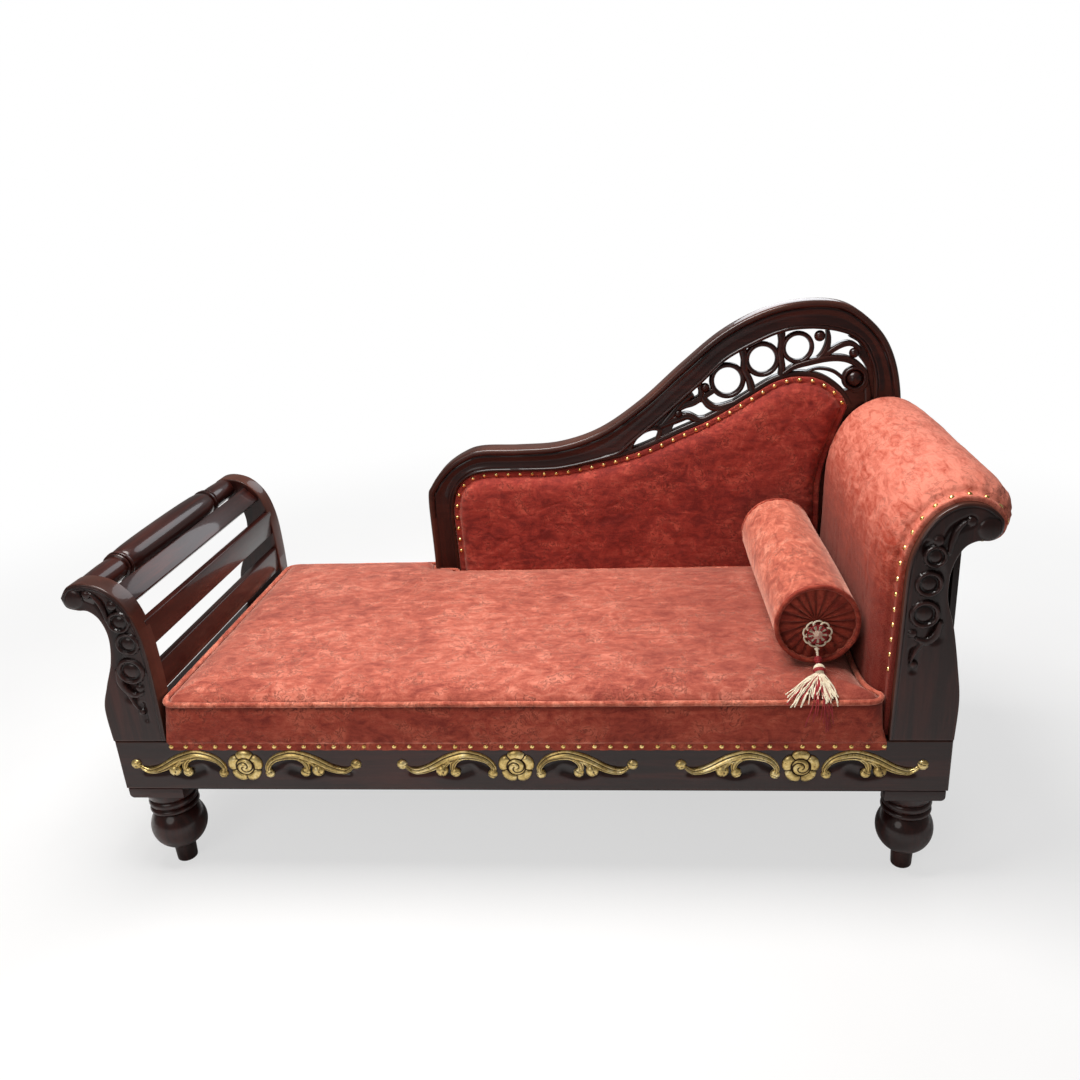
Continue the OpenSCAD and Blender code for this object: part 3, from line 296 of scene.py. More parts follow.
def tube(name, path, radius, sides=12, closed=False, flat=1.0, up=None):
    """A round or flattened tube along a path of places, with rounded ends."""
    path = np.asarray(path, float)
    radius = np.broadcast_to(np.asarray(radius, float), (len(path),)).copy()
    if not closed:
        d = frames_along(path)[0]
        path = np.vstack([path[0] - d[0] * radius[0] * 0.9, path[0] - d[0] * radius[0] * 0.55, path,
                          path[-1] + d[-1] * radius[-1] * 0.55, path[-1] + d[-1] * radius[-1] * 0.9])
        radius = np.concatenate([[0, radius[0] * 0.8], radius, [radius[-1] * 0.8, 0]])
    step, side, over = frames_along(path, closed)
    if up is not None:
        over = np.broadcast_to(np.asarray(up, float), path.shape)
        side = np.cross(step, over)
        side /= np.linalg.norm(side, axis=1)[:, None]
    n = len(path)
    piece, u, v = grid(name, sides, n if closed else n - 1)
    k = np.rint(v * (n if closed else n - 1)).astype(int) % n
    turn = 2 * math.pi * u
    r = radius[k][:, None]
    p = path[k] + side[k] * r * np.cos(turn)[:, None] + over[k] * r * flat * np.sin(turn)[:, None]
    set_points(piece, metres(p))
    return cleaned(piece)


def distance_to(points, line):
    """Distance from flat points to a line of segments, and the share along it."""
    a, b = line[:-1], line[1:]
    ab = b - a
    length = np.linalg.norm(ab, axis=1)
    before = np.concatenate([[0], np.cumsum(length)])
    best, share = np.full(len(points), 1e9), np.zeros(len(points))
    for k in range(len(a)):
        t = np.clip(((points - a[k]) @ ab[k]) / max(length[k] ** 2, 1e-9), 0, 1)
        d = np.linalg.norm(points - a[k] - t[:, None] * ab[k], axis=1)
        nearer = d < best
        best[nearer] = d[nearer]
        share[nearer] = (before[k] + t[nearer] * length[k]) / before[-1]
    return best, share


def rim_drawn_back(piece, y_back, mode="VERT"):
    """Extrudes the rim of a face that looks to the front back to a flat rear, in edit mode."""
    edit(piece, mode)
    bpy.ops.mesh.region_to_loop()
    bpy.ops.mesh.extrude_edges_move(TRANSFORM_OT_translate={"value": (0, MM, 0)})
    bpy.ops.transform.resize(value=(1, 0, 1), center_override=(0, (y_back - CENTRE[1]) * MM, 0))


def backed(piece, y_back):
    """Gives a face a flat rear and closes it."""
    rim_drawn_back(piece, y_back)
    bpy.ops.mesh.edge_face_add()
    object_mode()
    return piece


def seeded(seed):
    return np.random.default_rng(seed)


def ripple(x, y, seed, length, octaves=3):
    """A smooth uneven field between about -1 and 1, with waves of that length in millimetres."""
    rng, total, weight = seeded(seed), np.zeros_like(x, dtype=float), 0.0
    for octave in range(octaves):
        wave, amount = length / 2 ** octave, 0.55 ** octave
        for _ in range(5):
            a = rng.uniform(0, math.pi)
            total += amount * np.sin(2 * math.pi * (x * math.cos(a) + y * math.sin(a)) / wave
                                     + rng.uniform(0, 2 * math.pi)) / 2.2
        weight += amount
    return total / weight


print("helpers ready")

# %% [markdown]
# The picture is taken from a little above the seat and from the front, with the camera leaning by
# a few degrees. A camera's own axes are set as the columns of its matrix, so that its pitch, turn
# and lean are exact, and a small shift keeps the couch where it stands in the picture.

# %% Camera
PITCH, YAW, LEAN = (math.radians(a) for a in (21.09, -5.14, -2.88))
FOCAL_PX, MIDDLE_PX, IMAGE_PX = 961.84, (585.5, 545.37), 1080

ahead = np.array([math.sin(YAW) * math.cos(PITCH), math.cos(YAW) * math.cos(PITCH), -math.sin(PITCH)])
level_right = np.array([math.cos(YAW), -math.sin(YAW), 0.0])
level_up = np.cross(level_right, ahead)
right = level_right * math.cos(LEAN) + level_up * math.sin(LEAN)
up = -level_right * math.sin(LEAN) + level_up * math.cos(LEAN)

deselect()
bpy.ops.object.camera_add()
camera = bpy.context.object
camera.name = "camera"
turned_axes = np.eye(4)
turned_axes[:3, 0], turned_axes[:3, 1], turned_axes[:3, 2] = right, up, -ahead
turned_axes[:3, 3] = metres([284.59, -1545.97, 1310.66])
camera.matrix_world = Matrix(turned_axes.tolist())
camera.data.sensor_width = 36
camera.data.lens = FOCAL_PX / IMAGE_PX * 36
camera.data.shift_x = (IMAGE_PX / 2 - MIDDLE_PX[0]) / IMAGE_PX
camera.data.shift_y = (MIDDLE_PX[1] - IMAGE_PX / 2) / IMAGE_PX
camera.data.clip_end = 50
bpy.context.scene.camera = camera
print("lens", round(camera.data.lens, 2),
      "shift", round(camera.data.shift_x, 4), round(camera.data.shift_y, 4))

# %% [markdown]
# The light is that of a plain studio: one wide soft lamp overhead, because the seat is far brighter
# than the front in the picture, weaker ones in front and behind, and a dim room. The background is
# white only where the camera sees it, through the Light Path node, so that it adds no light.

# %% Lamps and room
def soft_lamp(name, place, aim, size, power, colour=(1, 1, 1)):
    deselect()
    bpy.ops.object.light_add(type="AREA", location=place)
    lamp = bpy.context.object
    lamp.name = name
    lamp.data.shape, lamp.data.size, lamp.data.energy = "DISK", size, power
    lamp.data.color = colour
    direction = np.array(aim, float) - np.array(place, float)
    flat = math.hypot(direction[0], direction[1])
    heading = math.atan2(direction[1], direction[0])
    lamp.rotation_euler = (math.atan2(flat, -direction[2]), 0, heading - math.pi / 2)
    return lamp


soft_lamp("lamp_overhead", (-0.35, -0.1, 2.5), (0, 0.05, 0.4), 1.5, 82, (1, 0.98, 0.96))
soft_lamp("lamp_front", (-1.3, -2.5, 1.7), (0, 0, 0.45), 1.6, 15, (1, 0.98, 0.95))
soft_lamp("lamp_rear", (0.6, 2.3, 2.1), (0, 0, 0.5), 1.6, 22, (0.9, 0.95, 1))

view = bpy.context.scene.view_settings
view.view_transform = "Standard"
room = bpy.data.worlds.new("room")
bpy.context.scene.world = room
room.use_nodes = True
tree = room.node_tree
tree.nodes.clear()
path = tree.nodes.new("ShaderNodeLightPath")
seen = tree.nodes.new("ShaderNodeMath")
seen.operation = "MAXIMUM"
lit, shown = (tree.nodes.new("ShaderNodeBackground") for _ in range(2))
either = tree.nodes.new("ShaderNodeMixShader")
out = tree.nodes.new("ShaderNodeOutputWorld")
lit.inputs["Color"].default_value = (1, 0.96, 0.93, 1)
lit.inputs["Strength"].default_value = 0.22
shown.inputs["Color"].default_value = (1, 1, 1, 1)
for a, b in ((path.outputs["Is Camera Ray"], seen.inputs[0]),
             (path.outputs["Is Transmission Ray"], seen.inputs[1]),
             (seen.outputs[0], either.inputs[0]), (lit.outputs[0], either.inputs[1]),
             (shown.outputs[0], either.inputs[2]), (either.outputs[0], out.inputs[0])):
    tree.links.new(a, b)

# %% [markdown]
# A material is a small network of nodes. Written out, sums of sockets are hard to follow, so a
# wire wraps one socket and takes the usual signs, and a finish makes every other node by one
# method. What varies over a surface goes only into colour, roughness and bump; what is the same
# everywhere, such as the lacquer's coat or the pile's sheen, is set on the shader itself.

# %% Wires and finishes
class Wire:
    def __init__(self, finish, socket):
        self.finish, self.socket = finish, socket

    def maths(self, operation, other=0.0, swapped=False):
        pair = (other, self) if swapped else (self, other)
        return self.finish.node("ShaderNodeMath", {"operation": operation}, {0: pair[0], 1: pair[1]})

    def __add__(self, other):
        return self.maths("ADD", other)

    def __sub__(self, other):
        return self.maths("SUBTRACT", other)

    def __rsub__(self, other):
        return self.maths("SUBTRACT", other, True)

    def __mul__(self, other):
        return self.maths("MULTIPLY", other)

    __radd__, __rmul__ = __add__, __mul__

    def between(self, low, high, start=0.0, end=1.0):
        """Runs smoothly from start to end while the wire goes from low to high."""
        return self.finish.node("ShaderNodeMapRange", {"interpolation_type": "SMOOTHSTEP"},
                                {0: self, 1: low, 2: high, 3: start, 4: end})


class Finish:
    def __init__(self, name, **same_all_over):
        self.material = bpy.data.materials.new(name)
        self.material.use_nodes = True
        self.tree = self.material.node_tree
        self.tree.nodes.clear()
        self.shader = self.tree.nodes.new("ShaderNodeBsdfPrincipled")
        self.out = self.tree.nodes.new("ShaderNodeOutputMaterial")
        self.tree.links.new(self.shader.outputs[0], self.out.inputs[0])
        for key, value in same_all_over.items():
            self.shader.inputs[key.replace("_", " ").title().replace("Ior", "IOR")].default_value = value
        self.place = self.node("ShaderNodeTexCoord", output="Object")

    def node(self, kind, settings=None, inputs=None, output=0):
        made = self.tree.nodes.new(kind)
        for key, value in (settings or {}).items():
            if key == "stops":
                ramp = made.color_ramp.elements
                while len(ramp) < len(value):
                    ramp.new(0.5)
                for stop, (position, colour) in zip(ramp, value):
                    stop.position, stop.color = position, (*colour, 1)
            else:
                setattr(made, key, value)
        for key, value in (inputs or {}).items():
            if isinstance(value, Wire):
                self.tree.links.new(value.socket, made.inputs[key])
            else:
                made.inputs[key].default_value = value
        return Wire(self, made.outputs[output])

    def stretched(self, scale):
        return self.node("ShaderNodeMapping", None, {"Vector": self.place, "Scale": scale})

    def noise(self, scale, detail=3.0, roughness=0.5, distortion=0.0, vector=None):
        return self.node("ShaderNodeTexNoise", None, {
            "Vector": vector or self.place, "Scale": scale, "Detail": detail,
            "Roughness": roughness, "Distortion": distortion})

    def mixed(self, factor, first, second):
        first, second = (c if isinstance(c, Wire) else (*c, 1) for c in (first, second))
        return self.node("ShaderNodeMix", {"data_type": "RGBA"},
                         {0: factor, 6: first, 7: second}, 2)

    def ramp(self, factor, *stops):
        return self.node("ShaderNodeValToRGB", {"stops": stops}, {0: factor})

    def own(self, name):
        """A number kept on the piece's own points."""
        return self.node("ShaderNodeAttribute", {"attribute_name": name}, output="Fac")

    def takes(self, socket, wire):
        self.tree.links.new(wire.socket, self.shader.inputs[socket])

    def bumped(self, height, strength, millimetres):
        self.takes("Normal", self.node("ShaderNodeBump", None, {
            "Height": height, "Strength": strength, "Distance": millimetres * MM}))


print("finish kit ready")

# %% [markdown]
# The show wood is a hard close-grained timber under a dark stain and a glossy lacquer. The stain
# leaves the grain just visible as long reddish streaks, and it is rubbed thinner along the edges that
# hands touch. Carved hollows and grooves are darkened with painted shade. One function makes it for
# each grain direction.

# %% Lacquered wood
def lacquered(name, along):
    stretch = [46.0, 46.0, 46.0]
    stretch["xyz".index(along)] = 3.2
    f = Finish(name, coat_weight=0.42, coat_roughness=0.05, specular_ior_level=0.18)
    grain = f.noise(1.0, 4.0, 0.6, 0.6, f.stretched(stretch))
    pores = f.noise(5.0, 3.0, 0.65, 0.2, f.stretched(stretch))
    cloud = f.noise(5.5, 2.0)
    recess, rubbed = f.own("recess"), f.own("rubbed")
    tone = grain * 0.55 + pores * 0.15 + cloud * 0.3
    stain = f.ramp(tone, (0.3, (0.006, 0.0016, 0.0013)), (0.5, (0.017, 0.0036, 0.0027)),
                   (0.68, (0.048, 0.0095, 0.006)))
    stain = f.mixed(rubbed * cloud.between(0.35, 0.65, 0.15, 0.5), stain, (0.11, 0.04, 0.025))
    # painted shade: carved hollows and grooves are darkened nearly to black
    f.takes("Base Color", f.mixed(recess.between(0, 1, 0, 0.85), stain, (0.003, 0.002, 0.002)))
    f.takes("Roughness", 0.24 + cloud * 0.1 + pores * 0.08 + recess * 0.1)
    f.bumped(grain * 0.6 + pores * 0.4, 0.08, 0.4)
    return f.material


wood_x, wood_y, wood_z = (lacquered(f"lacquered_wood_{a}", a) for a in "xyz")
print(wood_x.name, wood_y.name, wood_z.name)

# %% [markdown]
# The cover is crushed velvet: its pile lies in all directions, so patches of deep red, rust and
# salmon run into each other along fine crinkles. Noises at the size of a hand and of a thumb set
# the patches, a stretched one brushes them, and where another noise crosses its middle value a
# thin dark crinkle is drawn. The shader's sheen lifts the pile where it is seen from the side.
# Painted shade darkens pleats, creases and seams, and on the seat and the roll painted light and
# shade run along the piece: the seat's red deepens towards the head, in the shade of the bolster
# and the roll, and the roll is paler at its top and deep red low down, where less light reaches it.

# %% Crushed velvet
def velvet(name, deep, middle, pale, grain=(20, 60, 60), sheen=0.55, streaks=0.32, contrast=1.0, painted_light=None):
    f = Finish(name, sheen_weight=sheen, sheen_roughness=0.42, sheen_tint=(1, 0.6, 0.48, 1),
               specular_ior_level=0.2)
    broad = f.noise(4.5, 3.0, 0.55, 0.6)
    patches = f.noise(19.0, 6.0, 0.7, 1.1)
    brushed = f.noise(1.0, 4.0, 0.7, 0.9, f.stretched(grain))
    pile = f.noise(480.0, 2.0, 0.6)
    crinkle = (f.noise(52.0, 4.0, 0.6, 1.3) - 0.5).maths("ABSOLUTE").between(0.0, 0.05, 1.0, 0.0)
    crinkle = crinkle * patches.between(0.44, 0.6, 0.1, 1.0)
    tone = patches * (0.8 - streaks) + broad * 0.2 + brushed * streaks
    tone = (tone - 0.5) * contrast + 0.5
    # painted light and shade along one axis of the piece: the tone is lifted or lowered along it
    if painted_light:
        axis, start, end, tones, shade_mix = painted_light
        where = f.node("ShaderNodeSeparateXYZ", None, {0: f.place}, axis)
        tone = tone + where.between(start, end, *tones)
    colour = f.ramp(tone, (0.41, deep), (0.5, middle), (0.595, pale))
    # painted shade: the colour is pulled towards the deep red along the same axis
    if painted_light:
        colour = f.mixed(where.between(start, end, *shade_mix), colour, deep)
    # crinkles are the pile's own dark lines; the kept attribute adds painted shade in pleats and seams
    dark = crinkle * (0.72 * contrast) + f.own("recess") * 0.75
    colour = f.mixed(dark, colour, tuple(c * 0.4 for c in deep))
    f.takes("Base Color", f.mixed(pile.between(0.3, 0.7, 0.0, 0.15), colour, pale))
    f.takes("Roughness", 0.74 + patches * 0.14)
    f.bumped(patches * 0.8 + brushed * 0.5 + pile * 0.12 - crinkle * 0.7, 0.55, 1.5)
    return f.material


# seat: painted shade deepens its red towards the head, by the bolster and the roll
seat_velvet = velvet("velvet_seat", (0.19, 0.024, 0.016), (0.37, 0.078, 0.048), (0.58, 0.185, 0.125),
                     sheen=0.75, painted_light=(0, 0.05, 0.62, (0.0, -0.02), (0.0, 0.4)))
# darker copy of the velvet: painted shade on the upright back pad and its rear cloth
shaded_back_velvet = velvet("velvet_back_shaded", (0.13, 0.009, 0.008), (0.27, 0.028, 0.019), (0.44, 0.075, 0.048),
                     sheen=0.4)
# roll: painted light on its top and painted shade low down, towards the seat
roll_velvet = velvet("velvet_roll", (0.13, 0.007, 0.004), (0.31, 0.034, 0.014), (0.62, 0.19, 0.13),
                     grain=(60, 18, 60), sheen=0.12, streaks=0.5, contrast=0.62,
                     painted_light=(2, 0.46, 0.80, (-0.085, 0.07), (0.85, 0.0)))
# paler copy of the velvet: painted light on the bolster's top and a painted highlight on the seat's piping
lit_velvet = velvet("velvet_bolster", (0.24, 0.034, 0.020), (0.45, 0.105, 0.062), (0.68, 0.23, 0.15),
                        grain=(50, 24, 50), sheen=0.5, streaks=0.45)
# darker copy of the velvet: painted shade on the upright front border and the bolster's ends and cords
shaded_velvet = velvet("velvet_shaded", (0.15, 0.013, 0.008), (0.29, 0.040, 0.022), (0.44, 0.09, 0.052),
                      sheen=0.3)
print([m.name for m in bpy.data.materials if m.name.startswith("velvet")])

# %% [markdown]
# The metals and yarns come next. Gilding is gold paint over the dark wood, worn through in small
# flecks, and its carved lines are darkened with painted shade; the nails are stamped brass with a
# little tarnish. The tassel's yarn is cream with some crimson, and everything that the covers hide
# gets the plain look of its own stuff.

# %% Gilding, brass and yarn
def gilding():
    f = Finish("old_gilding", metallic=0.8, specular_ior_level=0.5)
    cloud, fleck = f.noise(28.0, 4.0, 0.6), f.noise(170.0, 3.0, 0.6)
    gold = f.ramp(cloud * 0.6 + fleck * 0.4, (0.34, (0.30, 0.20, 0.07)), (0.5, (0.60, 0.44, 0.16)),
                  (0.66, (0.90, 0.76, 0.42)))
    # painted shade in the carved lines, plus random flecks where the gold is worn through
    line = f.own("recess").between(0.25, 0.8) + fleck.between(0.6, 0.72, 0, 0.35)
    f.takes("Base Color", f.mixed(line, gold, (0.03, 0.014, 0.008)))
    f.takes("Roughness", 0.2 + fleck * 0.2 + line * 0.25)
    f.bumped(fleck * 0.5 + cloud * 0.5, 0.25, 0.5)
    return f.material


def brass():
    f = Finish("brass_nails", metallic=1.0)
    tarnish = f.noise(260.0, 3.0, 0.6)
    spot = f.noise(33.0, 2.0)
    f.takes("Base Color", f.ramp(tarnish * 0.5 + spot * 0.5, (0.35, (0.45, 0.26, 0.07)),
                                 (0.5, (0.84, 0.58, 0.2)), (0.66, (0.95, 0.76, 0.36))))
    f.takes("Roughness", 0.16 + tarnish * 0.2)
    return f.material


def plain(name, dark, pale, scale, roughness=0.8, stretch=(1, 1, 1), bump=0.4, metal=0.0):
    """A plain stuff: two tones of one colour in a noise of that scale, with its own roughness."""
    f = Finish(name, metallic=metal)
    grain = f.noise(scale, 4.0, 0.6, 0.3, f.stretched(stretch))
    wide = f.noise(scale * 0.15, 2.0, 0.5, 0.0, f.stretched(stretch))
    f.takes("Base Color", f.ramp(grain * 0.6 + wide * 0.4, (0.35, dark), (0.65, pale)))
    f.takes("Roughness", (roughness - 0.08) + grain * 0.16)
    f.bumped(grain, bump, 0.4)
    return f.material


old_gold, nail_brass = gilding(), brass()
cream_yarn = plain("yarn_cream", (0.52, 0.42, 0.28), (0.88, 0.80, 0.64), 500.0, 0.85)
crimson_yarn = plain("yarn_crimson", (0.18, 0.008, 0.012), (0.42, 0.03, 0.035), 500.0, 0.8)
plain_wood = plain("inner_wood", (0.36, 0.22, 0.11), (0.62, 0.43, 0.25), 2.0, 0.7, (4, 40, 40), 0.2)
padding = plain("padding_foam", (0.66, 0.60, 0.42), (0.84, 0.79, 0.62), 300.0, 0.9)
steel = plain("steel_bolts", (0.28, 0.28, 0.30), (0.55, 0.55, 0.57), 200.0, 0.4, (1, 1, 1), 0.1, 1.0)
black_cloth = plain("black_cloth", (0.006, 0.006, 0.007), (0.03, 0.03, 0.032), 900.0, 0.9)
print("finishes", len(bpy.data.materials))

# %% [markdown]
# The frame inside the couch is right as the CAD model gives it: corner blocks, bearers, dowels,
# bolts and board are plain shapes that the covers hide. They keep their CAD meshes and take the
# finish of their material slot.

# %% Finishes on the CAD nodes
BY_SLOT = {"dark_wood": wood_x, "inner_wood": plain_wood, "steel_bolt": steel, "brass_nail": nail_brass,
           "velvet": seat_velvet, "padding": padding, "gilding": old_gold, "black_cloth": black_cloth,
           "tassel_yarn": cream_yarn}
for node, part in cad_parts.items():
    for holder in part.material_slots:
        key = next((k for k in BY_SLOT if holder.material and k in holder.material.name), None)
        if key is None:
            print("no finish for", node, holder.material.name if holder.material else None)
        else:
            holder.material = BY_SLOT[key]
for node in ("back_left_stile", "back_right_stile"):
    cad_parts[node].material_slots[0].material = wood_z
print("CAD nodes finished")

# %% [markdown]
# ## Legs and base
# A leg is turned on a lathe, so it is a profile run round an axis. Spin would do it, but pulling a
# disc up by extrude and changing its size at each step is the same move a turner's gauge makes, and
# it leaves the poles closed. One leg is made and copied, each copy with its own mesh.

# %% Turned legs
def arc(x, y, r, start, end, steps):
    return [(x + r * math.cos(math.radians(a)), y + r * math.sin(math.radians(a)))
            for a in np.linspace(start, end, steps + 1)]


def turned(name, profile, place=(0, 0), sides=64):
    """Pulls a disc up through a profile of radius and height."""
    x, y = metres([*place, 0])[:2]
    deselect()
    bpy.ops.mesh.primitive_circle_add(vertices=sides, radius=profile[0][0] * MM, fill_type="NGON",
                                      location=(x, y, profile[0][1] * MM))
    piece = named(name)
    edit(piece, "FACE")
    for (r0, z0), (r1, z1) in zip(profile, profile[1:]):
        bpy.ops.mesh.extrude_region_move(TRANSFORM_OT_translate={"value": (0, 0, (z1 - z0) * MM)})
        bpy.ops.transform.resize(value=(r1 / r0, r1 / r0, 1), center_override=(x, y, z1 * MM))
    object_mode()
    return cleaned(piece)


LEG_PROFILE = [(18.6, 0), (19.8, 1.2), (20.2, 4), (21.5, 43), (22.2, 46.4), (32.4, 46.8), (33.8, 47.6),
               (34.4, 48.8), *arc(0, 90.2, 55, -48, 49, 22), (43.4, 132.2), *arc(42, 138, 6, -66, 66, 10),
               *arc(38, 154, 10, -62, 62, 12), (45.4, 164), (46.2, 165.2), (51, 179.5), (52, 182), (52, 186)]
LEG_PLACES = {"leg_front_foot": (-740, 56), "leg_front_head": (740, 56),
              "leg_back_foot": (-740, 634), "leg_back_head": (740, 634)}
first_leg = turned("leg_front_foot", LEG_PROFILE, LEG_PLACES["leg_front_foot"])
for name, (x, y) in LEG_PLACES.items():
    leg = first_leg if name == "leg_front_foot" else copied(first_leg, name, (x + 740, y - 56, 0))
    wooden(leg, wood_z, name, way="turned", degrees=32)

# %% [markdown]
# The blocks over the legs, the rails and the slats are planed boards. A board is a cube at its size
# and place whose edges are eased by a Bevel modifier, as a plane or sandpaper would; without that,
# edges catch no light and wood looks like paper.

# %% Boards
def board(name, low, high, eased=2.0, turn=0.0):
    low, high = np.array(low, float), np.array(high, float)
    deselect()
    bpy.ops.mesh.primitive_cube_add(size=1, location=metres((low + high) / 2), rotation=(0, turn, 0))
    bpy.context.object.scale = (high - low) * MM
    piece = named(name)
    if eased:
        modified(piece, "BEVEL", width=eased * MM, segments=3, limit_method="ANGLE")
    return piece


PLINTH_W, PLINTH_Z, PLINTH_ROUND = 112, 186, 9
blocks = []
for side, x0 in ((-1, -796), (1, 684)):
    for y0 in (0, DEPTH - PLINTH_W):
        block = board(f"plinth_{len(blocks)}", (x0, y0, PLINTH_Z), (x0 + PLINTH_W, y0 + PLINTH_W, RAIL_Z), 0)
        edge_x = metres([x0 if side < 0 else x0 + PLINTH_W, 0, 0])[0]
        edit(block, "EDGE", "DESELECT")
        object_mode()
        p = points_of(block)
        ends = np.array([e.vertices[:] for e in block.data.edges])
        outer = np.abs(p[ends][:, :, 0] - edge_x).max(1) < 0.1 * MM
        low_edge = outer & (p[ends][:, :, 2].max(1) < (PLINTH_Z + 2) * MM)
        choose(block.data.edges, low_edge)
        bpy.ops.object.mode_set(mode="EDIT")
        bpy.ops.mesh.bevel(offset=PLINTH_ROUND * MM, segments=8, affect="EDGES")
        object_mode()
        blocks.append(modified(block, "BEVEL", width=1.2 * MM, segments=2, limit_method="ANGLE"))
wooden(joined("plinth_blocks", blocks), wood_x, "plinth_blocks", way="eased")

rear_rail = board("back_rail", (-RAIL_END, BACK_Y, RAIL_Z), (RAIL_END, DEPTH, DECK_Z), 2.4)
wooden(rear_rail, wood_x, "back_rail", way="board")
for name, x0 in (("end_rail_foot", -RAIL_END), ("end_rail_head", RAIL_END - RAIL_T)):
    end_rail = board(name, (x0, RAIL_T, RAIL_Z), (x0 + RAIL_T, BACK_Y, DECK_Z), 1.6)
    wooden(end_rail, wood_y, name, way="board")

# %% [markdown]
# ## Carving
# A carver draws the pattern on the face, lowers the ground round it and rounds what stands. Here the
# face is a fine grid, and each of its points is raised or lowered by its distance to the lines of the
# pattern: scoops first, then ribbons, domes and rings over them. Two numbers are kept on the points
# for the finish: painted shade, darkest deep in hollows and grooves and at the foot of what stands,
# and how much an edge is rubbed.

# %% Relief from lines and rings
def keep(piece, name, values):
    layer = piece.data.attributes.get(name) or piece.data.attributes.new(name, "FLOAT", "POINT")
    layer.data.foreach_set("value", np.clip(np.asarray(values, np.float32), 0, 1))


def dome(d, w, height, power=0.5):
    return height * np.clip(1 - (d / w) ** 2, 0, 1) ** power


def carved(p, pattern):
    """Height over the face and depth of shade at flat points, for a list of carved features."""
    ground, raised = np.zeros(len(p)), np.full(len(p), -99.0)
    shade = np.zeros(len(p))
    for kind, line, width, height in pattern:
        line = np.atleast_2d(np.asarray(line, float))
        if len(line) == 1:
            d, share = np.linalg.norm(p - line[0], axis=1), np.zeros(len(p))
        else:
            d, share = distance_to(p, curve(line, 6))
        w = np.interp(share, np.linspace(0, 1, np.size(width)), np.atleast_1d(width))
        if kind == "scoop":
            t = np.clip(1 - d / w, 0, 1)
            ground = np.minimum(ground, -height * t * t * (3 - 2 * t))
            continue
        if kind == "ring":
            rim = dome(d - w * 0.83, w * 0.17, height)
            bowl = np.where(d < w * 0.68, -1.6 + dome(d, w * 0.6, height * 0.95, 0.6), -99)
            raised = np.where(d < w, np.maximum(rim, bowl), raised)
            # painted shade in the hollow inside each ring
            shade = np.maximum(shade, np.exp(-((d - w * 0.6) / (w * 0.09)) ** 2))
        else:
            raised = np.where(d < w, np.maximum(raised, dome(d, w, height)), raised)
        shade = shade * (d > w * 0.98) if kind == "ribbon" else shade
        # painted shadow line along the foot of each raised feature
        shade = np.maximum(shade, 0.75 * np.exp(-((d - w) / 1.3) ** 2))
    height = np.where(raised > -90, np.maximum(raised, ground * 0.3), ground)
    # painted shade on the scooped ground, darker the deeper it lies
    return height, np.maximum(shade, np.clip(-ground / 6, 0, 0.7) * (raised < -90))


def eased_edge(d, r):
    """How far a face drops near its edge when the edge is rounded to radius r."""
    inside = np.clip(r - d, 0, r)
    return r - np.sqrt(r * r - inside * inside)


def carved_panel(name, lines, pattern, across, along, y0, y1, eased=3.0, extra=None):
    """A panel between four edge lines with a carved front face at y0 and a flat rear at y1."""
    piece, u, v = grid(name, across, along)
    bottom, top, left, right = lines
    p = patch(bottom, top, left, right, crowded(u, 0.6), v)
    edge = np.minimum(distance_to(p, left)[0], distance_to(p, right)[0])
    edge = np.minimum(edge, distance_to(p, bottom)[0])
    height, shade = carved(p, pattern)
    if extra is not None:
        more, more_shade = extra(p)
        height, shade = height + more, np.maximum(shade, more_shade)
    fade = np.clip(edge / (eased * 1.6), 0, 1)
    y = y0 - height * fade + eased_edge(edge, eased)
    shaped(piece, p[:, 0], y, p[:, 1])
    # painted shade in the carved hollows, ring bowls and round the raised features
    keep(piece, "recess", shade)
    keep(piece, "rubbed", np.exp(-(edge / 3) ** 2))
    backed(piece, y1)
    return cleaned(piece, 0.05 * MM)


# %% [markdown]
# The arm panels are cut from thick plank. Their outline climbs from the rail, leans back and rolls
# over into a scroll, and the face carries a chain of rings, a bud and a leaf. The outline is the
# CAD model's, written as shares of the panel's width and height.

# %% Foot arm panels
FOOT_INNER = [(0.01, 0), (0, 0.24), (0, 0.45), (0.035, 0.682), (0.156, 0.854), (0.376, 0.961),
              (0.645, 1), (0.872, 0.985), (1, 0.917)]
FOOT_OUTER = [(0.78, 0), (0.787, 0.217), (0.681, 0.36), (0.539, 0.515), (0.482, 0.667), (0.539, 0.777),
              (0.667, 0.833), (0.81, 0.84), (0.95, 0.86), (1, 0.917)]
FOOT_X, FOOT_W, FOOT_H = -692.0, 141.0, 336.0


def side_lines(inner, outer, x, width, height):
    """Edge lines of a scrolled panel: foot, tip, and the two long sides."""
    left, right = (curve(placed(s, x, DECK_Z, width, height), 8) for s in (inner, outer))
    return np.array([left[0], right[0]]), np.array([left[-1], left[-1]]), left, right


FOOT_PATTERN = [
    ("scoop", [(-742, 600), (-742, 540), (-748, 480), (-742, 420)], (16, 19, 24, 22), 5.0),
    ("scoop", [(-790, 632), (-764, 618), (-752, 590)], (14, 13, 12), 4.0),
    ("scoop", [(-724, 400), (-722, 366)], (10, 7), 3.0),
    ("ring", (-731, 575), 22, 5.0), ("ring", (-724, 530), 23.5, 5.0), ("ring", (-730, 473), 27.5, 5.4),
    ("dome", (-810, 624), 20, 5.0), ("dome", (-781, 632), 8.5, 4.6), ("dome", (-737, 609), 9.5, 4.8),
    ("ribbon", [(-772, 633), (-761, 617), (-755, 600), (-752, 578)], (3, 5, 5, 3.5), 4.2),
    ("ribbon", [(-757, 474), (-756, 448), (-745, 429), (-731, 421), (-717, 427)], (4, 7, 7.5, 6.5, 4), 4.4),
    ("dome", (-720, 437), 8.5, 4.8),
    ("ribbon", [(-746, 425), (-739, 406), (-732, 391)], (4, 4, 2.5), 3.6),
    ("dome", (-727, 384), 6.5, 4.0),
]


